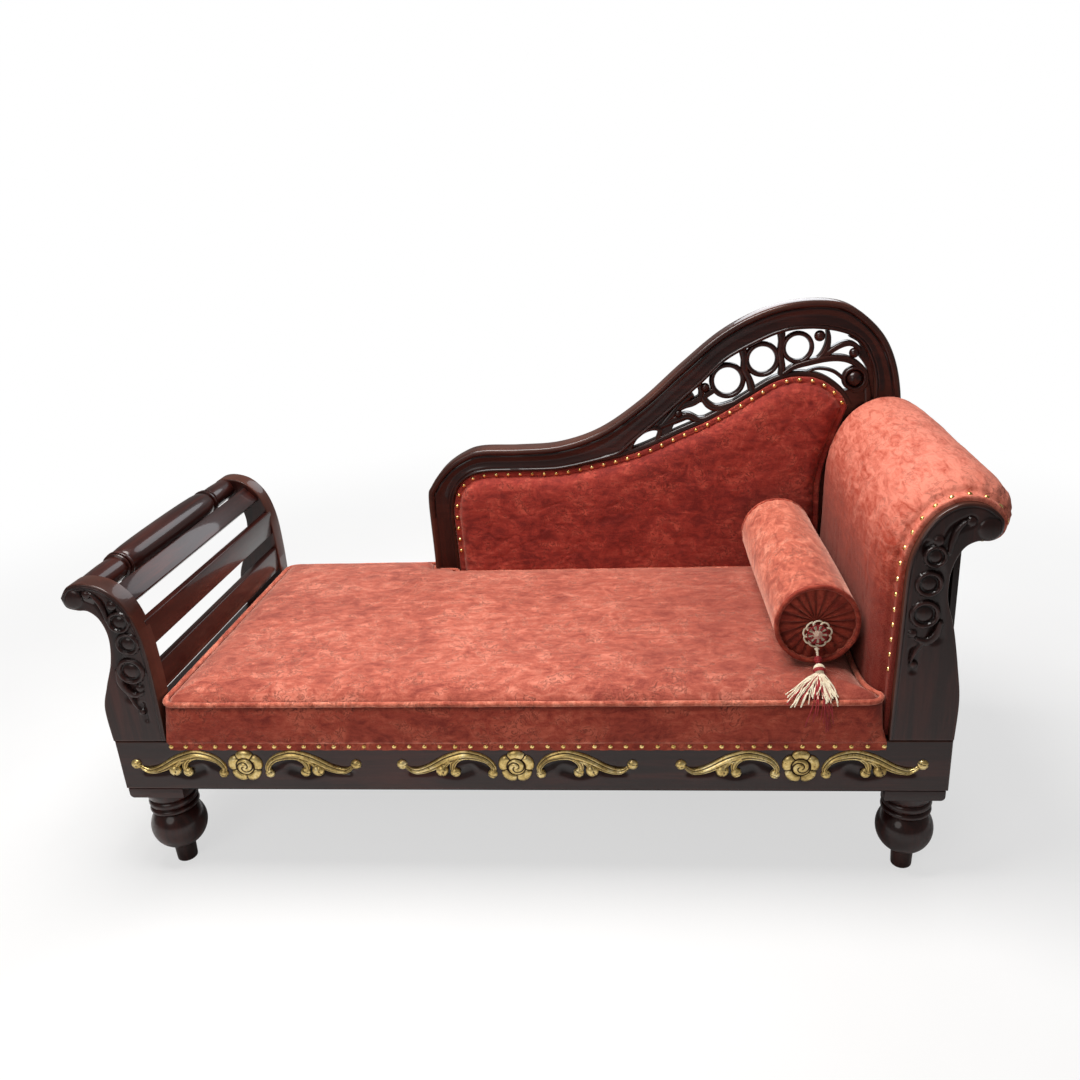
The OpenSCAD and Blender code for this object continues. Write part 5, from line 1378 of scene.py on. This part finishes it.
z = EDGE_Z + np.where(deep > 0, rise, 0) + worn * swell - 1.1 * creased(x, y, 11) * worn
puckers = 0.5 + 0.5 * np.sin(2 * math.pi * (x + y) / 21 + 2 * ripple(x, y, 9, 90, 2))
z -= 1.1 * np.exp(-((from_edge - 14) / 6) ** 2) * puckers
z = np.where((x > 430) & (deep > 20), np.minimum(z, EDGE_Z + SEAT_RISE), z)
shaped(seat, x, y, z)
# painted shade: a dark band just inside the piping, where its shadow falls
keep(seat, "recess", 0.75 * np.exp(-((from_edge - 8.5) / 3.2) ** 2))
edit(seat, "EDGE")
bpy.ops.mesh.region_to_loop()
for drop in (3, 26, 52):
    bpy.ops.mesh.extrude_edges_move(TRANSFORM_OT_translate={"value": (0, 0, -drop * MM)})
bpy.ops.mesh.edge_face_add()
object_mode()
handed_over(cleaned(seat, 0.05 * MM), seat_velvet, "frame", "velvet", "seat_cover", way="stuffed", degrees=50)

# %% [markdown]
# Below the piping the front is boxed: a straight strip of velvet that bulges a little and is folded
# under the row of nails. Each nail pulls the cloth in, so the strip puckers between them. Tube and
# strip are both grids, because a bevelled curve has no place for the creases.

# %% Border and piping
NAIL_PITCH = 29.0
SEAT_NAILS, SEAT_NAIL_Z = 47, 308.0
nail_line = np.linspace(-684, 676, SEAT_NAILS)
border, u, v = grid("border", 560, 40)
profile = np.array([(0, 299), (-2.6, 299.3), (-3.2, 301), (-3.2, 308), (-3.4, 314), (-4.6, 317), (-8.6, 320),
                    (-10.8, 325), (-12.0, 341), (-12.4, 357), (-11.8, 373), (-10.9, 386), (-10.0, 392),
                    (-9.5, 397)])
line = resampled(curve(profile, 6), v)
x = -688 + 1368 * u
corner = np.vstack([arc(FOOT_BEND, FRONT_BEND, 27, 190, 270, 10), arc(HEAD_BEND, FRONT_BEND, 27, -90, 0, 10),
                    [(662, 30)]])
stations = np.concatenate([np.linspace(-688, -650, 11), np.linspace(640, 672, 11), [680]])
upper_x, upper_y = np.interp(x, stations, corner[:, 0]), np.interp(x, stations, corner[:, 1])
pull = np.cos(2 * math.pi * (x - nail_line[0]) / (nail_line[1] - nail_line[0]))
low = np.exp(-((line[:, 1] - 321) / 11) ** 2)
fold = np.clip(ripple(x, line[:, 1] * 0.35, 21, 110, 4), -1, 1)
puff = (-1.0 * pull * low
        + 0.9 * fold * np.clip((line[:, 1] - 316) / 20, 0, 1) * np.clip((397 - line[:, 1]) / 12, 0, 1))
y = np.where(line[:, 1] > 312, np.maximum(line[:, 0] + puff - 0.1, -14.6), line[:, 0])
z = line[:, 1] + np.where(line[:, 1] < 302, 0.5 * pull, 0)
climb = np.clip((z - 318) / 78, 0, 1) ** 0.8
x, y = x + climb * (upper_x - x), y + climb * (upper_y + 8)
shaped(border, x, y, z)
# painted shadow under the piping along the top, and painted shade in the dimples the nails pull in
keep(border, "recess", 0.8 * np.clip((line[:, 1] - 388) / 7, 0, 1) + 0.4 * low * np.clip(pull, 0, 1))
modified(border, "SOLIDIFY", thickness=1.6 * MM, offset=-1)
handed_over(cleaned(border), shaded_velvet, "frame", "velvet", "seat_border", way="boxed", degrees=50)

ring = resampled(round_and_back(seat_ring(1.5)), np.linspace(0, 1, 561))[:-1]
path = np.column_stack([ring, EDGE_Z + 4.0 + 0.4 * ripple(ring[:, 0], ring[:, 1], 31, 160, 2)])
piping_r = 5.3 + 0.25 * ripple(ring[:, 0], ring[:, 1], 33, 60, 2)
# the piping takes the paler velvet copy: a painted highlight where it catches the light
piping = tube("piping", path, piping_r, 14, closed=True, up=(0, 0, 1))
handed_over(piping, lit_velvet, "frame", "velvet", "seat_piping", way="corded", degrees=50)

# %% [markdown]
# ## Back pad and its nails
# The back's pad follows the carving: a flat nailed border all along the top, and a soft face that
# swells inside it. The cloth is drawn to each nail, so small gathers run in from the border.

# %% Back pad
pad_left = np.array([(on_back([(STILE_IN, 0)])[0][0], z) for z in np.linspace(PAD_FOOT, 400, 4)])
pad_side = curve(on_back(PAD_SIDE), 10)
top = pad_top[pad_top[:, 1] > 400]
split = int(np.argmax(top[:, 0] > -212))
left_line = np.vstack([pad_left, top[:split + 1]])
top_line = top[split:]
right_line = np.vstack([[pad_side[0, 0], PAD_FOOT], pad_side])
bottom_line = np.array([left_line[0], right_line[0]])


def pad_face(name, across, along, y_back, height):
    """A face inside the pad's outline, raised by its distance to the edge."""
    piece, u, v = grid(name, across, along)
    flat = patch(bottom_line, top_line, left_line, right_line, crowded(u, 0.4), crowded(v, 0.5))
    outline = np.vstack([left_line, top_line, right_line[::-1], bottom_line[::-1]])
    d, share = distance_to(flat, outline)
    shaped(piece, flat[:, 0], y_back - height(flat, d, share * run_length(outline)), flat[:, 1])
    return piece


def pad_height(flat, d, run):
    x, z = flat.T
    inner = np.clip(d - 15, 0, None)
    h = 16 + 22 * (1 - 0.4 * np.exp(-inner / 6) - 0.6 * np.exp(-inner / 17)) * (d > 15)
    h -= eased_edge(np.clip(d, 0, None), 5) * (d < 5)
    wave = np.sin(2 * math.pi * run / NAIL_PITCH + 0.8 * ripple(x, z, 41, 80, 2))
    gather = wave * np.exp(-((d - 22) / 13) ** 2)
    worn = np.clip(inner / 35, 0, 1)
    swell = 1.1 * ripple(x, z, 43, 330, 2) + 0.6 * ripple(x, z, 45, 90, 3) - 1.2 * creased(x, z, 47) - 0.4
    return h - 1.0 * (1 + gather) * (d > 12) + worn * swell


pad = pad_face("back_pad", 260, 130, 668, pad_height)
backed(pad, 667.9)
handed_over(cleaned(pad, 0.05 * MM), shaded_back_velvet, "frame", "velvet", "back_cover", way="stuffed", degrees=50)


def rear_height(flat, d, run):
    return 0.3 * ripple(*flat.T, 51, 200, 2) * np.clip(d / 30, 0, 1)


rear = pad_face("rear_cloth", 70, 36, 676.2, rear_height)
modified(rear, "SOLIDIFY", thickness=0.8 * MM, offset=0)
handed_over(cleaned(rear), shaded_back_velvet, "frame", "velvet", "back_rear_panel", way="tacked", degrees=50)
span = points_of(rear).max(0) - points_of(rear).min(0)

# %% [markdown]
# ## Head roll
# The roll's padding is wrapped round the head arm, from the seat over the scroll. It is one closed
# sheet of padding: its outer face swells from a flat lap at the front to its full thickness, and
# gathers run back from the nails where the cloth is drawn over the scroll.

# %% Padding of the roll
head_curve = curve(placed([*HEAD_INNER, *HEAD_OUTER[-2::-1]], HEAD_X, DECK_Z, HEAD_W, HEAD_H), 12)
roll_base = head_curve[1:12 * 11 + 1]
roll_left = (len(roll_base) - 1 - np.arange(len(roll_base))) / 36.0
ROLL_TAPER = np.where(roll_left < 1, 0.15 + 0.85 * np.sqrt(np.clip(roll_left, 0, 1)), 1)
ROLL_PAD, ROLL_Y = 40.0, 12.0
LAP_SHARE, LAP_NAILS_Y = 0.235, 21.6
ROLL_PROFILE = [(0.3, 0.0), (0.3, 0.1), (0.5, 0.17), (2.0, 0.225), (8, 0.235), (15.3, 0.235), (19, 0.33),
                (24, 0.54), (38.6, 0.76), (63.7, 0.92), (108.3, 1), (150, 1), (240, 1), (330, 1), (420, 1),
                (528, 1), (580, 0.99), (604, 0.97), (626, 0.93), (634.9, 0.86), (635.9, 0.7), (635.9, 0.35),
                (635.9, 0.0)]


def roll_places(s, share, y):
    """Places on the roll at shares along its outline, shares of its thickness and depths."""
    at, order = s * (len(roll_base) - 1), np.arange(len(roll_base))
    base, side = (np.stack([np.interp(at, order, line[:, k]) for k in (0, 1)], axis=1)
                  for line in (roll_base, leftward(roll_base)))
    side /= np.linalg.norm(side, axis=1)[:, None]
    thick = ROLL_PAD * np.interp(at, order, ROLL_TAPER)
    flat = base + side * (np.maximum(share * thick, 0.25))[:, None]
    return np.stack([flat[:, 0], y, flat[:, 1]], axis=1)


roll, u, v = grid("head_roll", 200, 130)
rows = np.array(ROLL_PROFILE)
spread = np.concatenate([[0], np.cumsum(np.hypot(np.diff(rows[:, 0]), np.diff(rows[:, 1]) * 40) ** 0.6)])
depth = np.interp(v * spread[-1], spread, rows[:, 0])
share = np.interp(v * spread[-1], spread, rows[:, 1])
run = u * run_length(roll_base)
soft = np.clip((depth - 16) / 30, 0, 1) * np.clip((636 - depth) / 20, 0, 1)
gather = np.sin(2 * math.pi * run / NAIL_PITCH + 1.1 * ripple(run, depth, 61, 90, 2))
share = share - 0.03 * (1 + gather) * np.exp(-((depth - 30) / 20) ** 2) * (share > 0.3)
share += soft * (0.03 * ripple(run, depth, 63, 300, 2) + 0.018 * ripple(run, depth, 65, 100, 3)
                 - 0.035 * creased(run, depth, 67) - 0.02)
scroll = np.exp(-((u - 0.82) / 0.11) ** 2)
wave = np.sin(2 * math.pi * run / 30 + 0.02 * depth + 0.8 * ripple(run, depth, 69, 120, 2))
pleat = scroll * soft * (0.5 + 0.5 * wave) ** 4 * np.clip(1.1 - depth / 110, 0, 1)
share -= 0.24 * pleat
# painted shade in the pleats over the scroll
keep(roll, "recess", np.clip(1.1 * pleat, 0, 1))
set_points(roll, metres(roll_places(u, share, ROLL_Y + depth)))
edit(roll, "EDGE", "DESELECT")
object_mode()
p = points_of(roll) / MM + CENTRE
ends = np.array([e.vertices[:] for e in roll.data.edges])
edge_face = (p[:, 1] < ROLL_Y + 0.31) & (v < 1e-4)
rear_face = v > 1 - 1e-4
choose(roll.data.vertices, False)
choose(roll.data.polygons, False)
choose(roll.data.edges, edge_face[ends].all(1) | rear_face[ends].all(1))
bpy.ops.object.mode_set(mode="EDIT")
bpy.ops.mesh.bridge_edge_loops()
object_mode()
handed_over(filled(roll), roll_velvet, "frame", "velvet", "head_cover", way="stuffed", degrees=50)

# %% [markdown]
# ## Nails
# The brass nails are domes with a flat underside. One is shaped from a sphere, and it is set again
# and again along the seat's lap, the back's border and the roll's front edge, each turned a little,
# because nails are driven by hand. They have few faces each, as there are over a hundred.

# %% Brass nails
NAIL_R, LAP_Y, PAD_LAP_Y = 4.9, -3.0, 652.2


def nail_row(node, places, normals, seed):
    rng, nails = seeded(seed), []
    for k, (place, normal) in enumerate(zip(places, normals)):
        nail = sphere(f"{node}_nail_{k}", 1, 10, 6)
        p = points_of(nail)
        p[:, 2] = np.where(p[:, 2] < -0.01, -0.12, np.maximum(p[:, 2], 0) * 0.66)
        n = np.array(normal, float) + rng.normal(0, 0.05, 3)
        n /= np.linalg.norm(n)
        a = np.cross(n, [0.3, 0.2, 1.0])
        a /= np.linalg.norm(a)
        r = NAIL_R * rng.uniform(0.96, 1.03)
        set_points(nail, metres(place + r * (p[:, :1] * a + p[:, 1:2] * np.cross(n, a) + p[:, 2:] * n)))
        nails.append(nail)
    row = cleaned(joined(node + "_row", nails), 0.001 * MM)
    handed_over(row, nail_brass, "frame", "brass_nail", node, way="driven", degrees=50)


places = np.column_stack([nail_line, np.full(SEAT_NAILS, LAP_Y), np.full(SEAT_NAILS, SEAT_NAIL_Z)])
nail_row("seat_nails", places, [(0, -1, 0)] * SEAT_NAILS, 71)

line = pushed(pad_top[pad_top[:, 1] > 430], -8.0)
count = int(run_length(line) // NAIL_PITCH)
at = resampled(line, (np.arange(count) + 0.5) / count)
places = np.column_stack([at[:, 0], np.full(count, PAD_LAP_Y), at[:, 1]])
nail_row("back_nails", places, [(0, -1, 0)] * count, 73)

ticks = np.linspace(0, 1, 400)
edge_line = roll_places(ticks, np.full(400, LAP_SHARE), np.full(400, LAP_NAILS_Y))
flat_run = edge_line[:, [0, 2]]
count = int(run_length(flat_run) // NAIL_PITCH)
share_at = (np.arange(count) + 0.5) / count
at, before, after = (resampled(flat_run, np.clip(share_at + d, 0, 1)) for d in (0, -0.01, 0.01))
facing = np.stack([-(after - before)[:, 1], (after - before)[:, 0]], axis=1)
chosen = (at[:, 1] > 430) | (at[:, 0] > 765)
places = np.column_stack([at[chosen, 0], np.full(chosen.sum(), LAP_NAILS_Y), at[chosen, 1]])
normals = np.column_stack([facing[chosen, 0], np.zeros(chosen.sum()), facing[chosen, 1]])
normals /= np.linalg.norm(normals, axis=1)[:, None]
nail_row("head_nails", places, normals, 75)

# %% [markdown]
# A black cloth is tacked under the rails, with its corners cut out for the legs' blocks. It is one
# grid with those corners deleted and a Solidify modifier for its thickness.

# %% Dust cloth under the rails
CUT_X, CUT_Y = 683, 113
dust, u, v = grid("dust", 60, 30)
x = np.interp(u, [0, 2 / 60, 6 / 60, 54 / 60, 58 / 60, 1],
              [1 - RAIL_END, -760, -CUT_X, CUT_X, 760, RAIL_END - 1])
y = np.interp(v, [0, 4 / 30, 26 / 30, 1], [1, CUT_Y, DEPTH - CUT_Y, DEPTH - 1])
shaped(dust, x, y, RAIL_Z - 0.6)
centres = np.array([f.center[:] for f in dust.data.polygons]) / MM + CENTRE
corner = (np.abs(centres[:, 0]) > CUT_X) & ((centres[:, 1] < CUT_Y) | (centres[:, 1] > DEPTH - CUT_Y))
edit(dust, "FACE", "DESELECT")
object_mode()
choose(dust.data.polygons, corner)
bpy.ops.object.mode_set(mode="EDIT")
bpy.ops.mesh.delete(type="FACE")
object_mode()
modified(dust, "SOLIDIFY", thickness=0.8 * MM, offset=0)
handed_over(cleaned(dust), black_cloth, "frame", "black_cloth", "dust_cover", way="tacked", degrees=50)

# %% [markdown]
# ## Bolster
# The bolster is a round pillow with piped ends. Its cover is pulled up from a disc like turned
# work would be, but in many steps, so that the cloth can swell in the middle and crease along its
# length. Each end is a gathered disc: pleats run in from the piping to a dimple under the rosette.

# %% Places along the bolster
BOLSTER_FRONT, BOLSTER_TURN, BOLSTER_LEN = np.array([562.0, 85.0, 511.8]), math.radians(2.36), 510.03
ALONG = np.array([-math.sin(BOLSTER_TURN), math.cos(BOLSTER_TURN), 0])
ACROSS = np.array([math.cos(BOLSTER_TURN), math.sin(BOLSTER_TURN), 0])


def on_bolster(across, up_by, along):
    """Places from sideways, upward and lengthwise distances at the bolster's front end."""
    return (BOLSTER_FRONT + np.multiply.outer(across, ACROSS) + np.multiply.outer(up_by, [0, 0, 1.0])
            + np.multiply.outer(along, ALONG))


# %% Bolster cover, ends and piping
cover, u, v = grid("bolster_cloth", 160, 150)
rows = curve([(70, 23.7), (72.6, 15.6), (75, 12), (77.5, 10.6), (79.2, 13), (80, 22), (80.3, 60), (81.0, 255),
              (80.3, 450), (80, 488), (79.2, 497), (77.5, 499.4), (75, 498), (72.6, 494.4), (70, 486.3)], 10)
line = resampled(rows, v)
turn = 2 * math.pi * u
end_near = np.minimum(line[:, 1] - 10, 500 - line[:, 1])
sway = 0.9 * np.sin(3 * turn + line[:, 1] / 140) + 0.7 * np.sin(5 * turn - line[:, 1] / 90 + 1)
sway = sway * np.clip(end_near / 90, 0, 1)
gather = np.sin(26 * turn + 0.6 * np.sin(5 * turn)) * np.exp(-(np.abs(end_near) / 26))
ring_fold = np.exp(-(np.sin(line[:, 1] / 37 + 1.5 * np.sin(turn * 2 + 1)) / 0.22) ** 2)
ring_fold = ring_fold * (0.5 + 0.5 * np.sin(turn * 3 + line[:, 1] / 60))
uneven = sway * 0.6 - 0.7 * gather - 1.1 * ring_fold * np.clip(end_near / 40, 0, 1)
r = line[:, 0] + uneven * (line[:, 0] > 76) - 0.4
r = np.where(line[:, 0] > 76, np.minimum(r, 81.4), r)
set_points(cover, metres(on_bolster(r * np.cos(turn), r * np.sin(turn), line[:, 1])))
handed_over(filled(cover), lit_velvet, "bolster", "velvet", "bolster_cover", way="stuffed", degrees=50)


END_R, END_INSET, PIPE_RING_R, PIPE_INSET = 76, 14.4, 75.6, 5.2


def gathered_end(name, front):
    """A pleated disc that closes one end, with its rim inside the cover."""
    piece, u, v = grid(name, 192, 34)
    turn, s = 2 * math.pi * u, 0.02 + 0.98 * v
    phase = 20 * turn + 0.9 * np.sin(3 * turn + (0 if front else 2)) + 0.9 * (1 - s) * np.sin(2 * turn)
    pleat = 0.5 + 0.5 * np.cos(phase)
    puff = np.sin(math.pi * np.clip(s, 0, 1)) ** 0.8
    fold = pleat ** 3 * np.clip(s * 3, 0, 1) * np.clip((1.02 - s) * 9, 0.25, 1)
    inward = 4.6 * (1 - s) ** 1.3 + 4.0 * fold - 2.6 * puff
    r = END_R * s
    along = END_INSET + inward if front else BOLSTER_LEN - END_INSET - inward
    set_points(piece, metres(on_bolster(r * np.cos(turn), r * np.sin(turn), along)))
    # painted shade in the pleats of the gathered end
    keep(piece, "recess", 0.8 * pleat ** 3 * np.clip((1.15 - s) * 3, 0.2, 1))
    cleaned(piece, 0.02 * MM)
    edit(piece, "EDGE")
    bpy.ops.mesh.region_to_loop()
    step = ALONG * (9 if front else -9) * MM
    bpy.ops.mesh.extrude_edges_move(TRANSFORM_OT_translate={"value": tuple(step)})
    object_mode()
    return filled(piece)


for name, front in (("bolster_end_front", True), ("bolster_end_rear", False)):
    disc = gathered_end(name + "_disc", front)
    handed_over(disc, shaded_velvet, "bolster", "velvet", name, way="gathered", degrees=60)
turn = np.linspace(0, 2 * math.pi, 120, endpoint=False)
for name, along in (("bolster_piping_front", PIPE_INSET), ("bolster_piping_rear", BOLSTER_LEN - PIPE_INSET)):
    path = on_bolster(PIPE_RING_R * np.cos(turn), PIPE_RING_R * np.sin(turn), along + 0.4 * np.sin(7 * turn))
    cord = tube(name + "_cord", path, 4.9 + 0.2 * np.sin(11 * turn), 14, closed=True)
    handed_over(cord, shaded_velvet, "bolster", "velvet", name, way="corded", degrees=50)

# %% [markdown]
# The rosette is a flower of corded loops round a wound button, sewn low on the bolster's end. Each
# loop is a thin tube along a drop-shaped path, and the loops overlap like real cord.

# %% Rosette of cord
def looped(name, middle, angle, reach, width, r, lift):
    t = np.linspace(0, 1, 26, endpoint=False)
    out = reach * np.sin(math.pi * t) ** 0.8
    side = width * np.sin(2 * math.pi * t)
    across = out * math.cos(angle) - side * math.sin(angle)
    up_by = out * math.sin(angle) + side * math.cos(angle)
    along = lift - 1.6 * np.sin(2 * math.pi * t)
    return tube(name, on_bolster(middle[0] + across, middle[1] + up_by, along), r, 8, closed=True)


ROSE_MIDDLE = (0.0, -18.0)
LOOPS, BUTTON_TURNS = 9, 5
cream_loops, crimson_loops = [], []
for k in range(LOOPS):
    angle = 2 * math.pi * k / LOOPS + math.pi / 2
    cream_loops.append(looped("loop", ROSE_MIDDLE, angle, 26.5, 8.4, 1.75, 2.0))
    crimson_loops.append(looped("loop", ROSE_MIDDLE, angle + math.pi / LOOPS, 19.0, 5.8, 1.35, -0.6))
turns = np.linspace(0, 2 * math.pi * BUTTON_TURNS, 150)
t = np.linspace(0, 1, 150)
for phase, store, out in ((0, cream_loops, 9.4), (math.pi / 5, crimson_loops, 9.0)):
    across, up_by = out * t * np.cos(turns + phase), out * t * np.sin(turns + phase)
    wind = on_bolster(ROSE_MIDDLE[0] + across, ROSE_MIDDLE[1] + up_by, -5.6 + 5.0 * t ** 2)
    store.append(tube("button_cord", wind, 1.15, 8))
shank = turned("rosette_shank", [(5, 0), (5, 17)], CENTRE[:2], 24)
p = points_of(shank) / MM
set_points(shank, metres(on_bolster(p[:, 0] + ROSE_MIDDLE[0], p[:, 1] + ROSE_MIDDLE[1], p[:, 2] - 1.0)))
cream_loops.append(cleaned(shank))
of_yarn(joined("rosette_cream", cream_loops), cream_yarn, "bolster", "bolster_rosette", "looped")
accents = joined("rosette_crimson", crimson_loops)
of_yarn(accents, crimson_yarn, "bolster", "bolster_rosette", "accents")

# %% [markdown]
# ## Tassel
# The tassel hangs from the rosette by a twisted cord, through a wound bead and a head, and its
# strands fan out over the seat's front edge. Each strand is a thin tube of its own, with few sides,
# as there are many: it leaves the head, follows the seat and ends at its own length.

# %% Cord, bead and head
HANG, TASSEL_HEAD = np.array([561.0, 82.6, 464.7]), np.array([561.0, 46.6, 441.3])
FALL = (TASSEL_HEAD - HANG) / np.linalg.norm(TASSEL_HEAD - HANG)
BEAD, BEAD_R, HEAD_R = TASSEL_HEAD - FALL * 19.3, 8.0, 9.9
SIDE = np.array([1.0, 0, 0])
OVER = np.cross(SIDE, FALL)
RIBS, STRANDS, CORD_R = 28, 64, 1.25


def on_tassel(middle, side, over, along):
    """Places from distances sideways, across and down the tassel's fall, at a point of it."""
    return (middle + np.multiply.outer(side, SIDE) + np.multiply.outer(over, OVER)
            + np.multiply.outer(along, FALL))


t = np.linspace(0, 1, 40)
reach = np.linalg.norm(BEAD - HANG) - 6.5
twist = 2 * math.pi * 2.2 * t
strands = []
for a in (0, math.pi):
    path = on_tassel(HANG, CORD_R * np.cos(twist + a), CORD_R * np.sin(twist + a), reach * t)
    strands.append(tube("cord", path, CORD_R, 8))
knot_line = HANG + np.column_stack([np.linspace(-3.6, 3.6, 5), np.zeros(5), np.zeros(5)])
knot = [tube("knot", knot_line, (1.4, 3.4, 4.0, 3.4, 1.4), 10)]
of_yarn(joined("stem_cord", strands + knot), cream_yarn, "tassel", "tassel_stem", "twisted")


def on_ball(middle, r, polar, turn):
    """Places on a ball whose axis follows the tassel."""
    out = r * np.sin(polar)
    return on_tassel(middle, out * np.cos(turn), out * np.sin(turn), -r * np.cos(polar))


def wound(name, middle, r, turns_of, cord_r):
    """A ball of cord wound round an axis that follows the tassel."""
    t = np.linspace(0.02, 0.98, int(turns_of * 22))
    return tube(name, on_ball(middle, r - cord_r, math.pi * t, 2 * math.pi * turns_of * t), cord_r, 8)


def core(name, middle, r):
    piece = sphere(name, r * MM)
    set_points(piece, metres(points_of(piece) / MM + middle))
    return cleaned(piece)


bead = joined("bead_wound", [wound("bead", BEAD, BEAD_R, 6, 1.3), core("bead_core", BEAD, 6.4)])
of_yarn(bead, crimson_yarn, "tassel", "tassel_bead", "wound")
ribs = [core("head_core", TASSEL_HEAD, 9.4)]
polar = math.pi * np.linspace(0.06, 0.97, 14)
for k in range(RIBS):
    ribs.append(tube("rib", on_ball(TASSEL_HEAD, HEAD_R, polar, 2 * math.pi * k / RIBS), 1.05, 6))
of_yarn(joined("head_ribs", ribs), cream_yarn, "tassel", "tassel_head", "wound")
collar = []
for r, along in ((10.2, 1.5), (9.9, 3.8), (9.3, 6.0)):
    path = on_tassel(TASSEL_HEAD, r * np.cos(turn), r * np.sin(turn), np.full(len(turn), along))
    collar.append(tube("collar", path, 1.2, 8, closed=True))
of_yarn(joined("head_collar", collar), crimson_yarn, "tassel", "tassel_head", "collar")

# %% Strands of the skirt
HANG_LINE = np.array([(38.0, 437.0), (30.0, 434.5), (19.5, 428.5), (9.0, 421.5), (-0.5, 415.5), (-9.0, 411.2),
                      (-14.5, 404.5), (-16.4, 394.0), (-16.8, 380), (-16.9, 366), (-16.9, 352), (-16.9, 338)])
rng = seeded(91)
cream_strands, crimson_strands = [], []
for k in range(STRANDS):
    loose = k % 5 == 4
    reach = rng.uniform(-30, 28) if loose else rng.uniform(-66, 30)
    length = rng.uniform(0.62, 0.98) if loose else rng.uniform(0.34, 0.54)
    t = np.linspace(0, length, 18)
    share = t / length
    place = resampled(HANG_LINE, t)
    fan = rng.uniform(-6, 6) * (1 - share) + reach * share ** 0.85
    fan += rng.uniform(1, 3.4) * np.sin(7 * share + rng.uniform(0, 6.3)) * share
    layer = rng.uniform(0, 4.6) * np.clip(t * 5, 0.2, 1)
    hanging = np.clip((410 - place[:, 1]) / 20, 0, 1)[:, None]
    lift = layer[:, None] * (np.array([0.45, 0.9]) * (1 - hanging) + np.array([-0.95, 0.0]) * hanging)
    path = np.column_stack([HANG[0] + fan, place[:, 0] + lift[:, 0] * 0.9, place[:, 1] + lift[:, 1] + 0.8])
    thick = np.linspace(1.05, 1.25, 18) * rng.uniform(0.8, 1.2) * (0.75 if loose else 1)
    strand = tube("strand", path, thick, 6)
    (crimson_strands if loose or k % 7 == 2 else cream_strands).append(strand)
of_yarn(joined("skirt_cream", cream_strands), cream_yarn, "tassel", "tassel_skirt", "strands")
of_yarn(joined("skirt_crimson", crimson_strands), crimson_yarn, "tassel", "tassel_skirt", "crimson")

# %% [markdown]
# ## Floor
# The couch stands on a pale floor that keeps its shadow. In the picture the ground is as white as the
# background, so where the camera looks at it the floor is mixed with plain white, a little near the
# couch and wholly far away, and no horizon is seen.

# %% Floor
deselect()
bpy.ops.mesh.primitive_plane_add(size=14, location=(0, 0, 0))
floor = named("floor")
floor_finish = Finish("pale_floor")
grit = floor_finish.noise(3.0, 3.0)
far_off = floor_finish.node("ShaderNodeVectorMath", {"operation": "LENGTH"}, {0: floor_finish.place}, 1)
looked_at = floor_finish.node("ShaderNodeLightPath") * far_off.between(1.1, 3.2, 0.62, 1.0)
bright = floor_finish.node("ShaderNodeEmission", None, {"Color": (1, 1, 1, 1), "Strength": 1.0})
either = floor_finish.node("ShaderNodeMixShader", None, {0: looked_at, 2: bright})
floor_finish.tree.links.new(floor_finish.shader.outputs[0], either.socket.node.inputs[1])
floor_finish.tree.links.new(either.socket, floor_finish.out.inputs[0])
floor_tone = floor_finish.ramp(grit, (0.3, (0.80, 0.80, 0.80)), (0.7, (0.84, 0.84, 0.84)))
floor_finish.takes("Base Color", floor_tone)
floor_finish.takes("Roughness", 0.75 + grit * 0.1)
floor.data.materials.append(floor_finish.material)
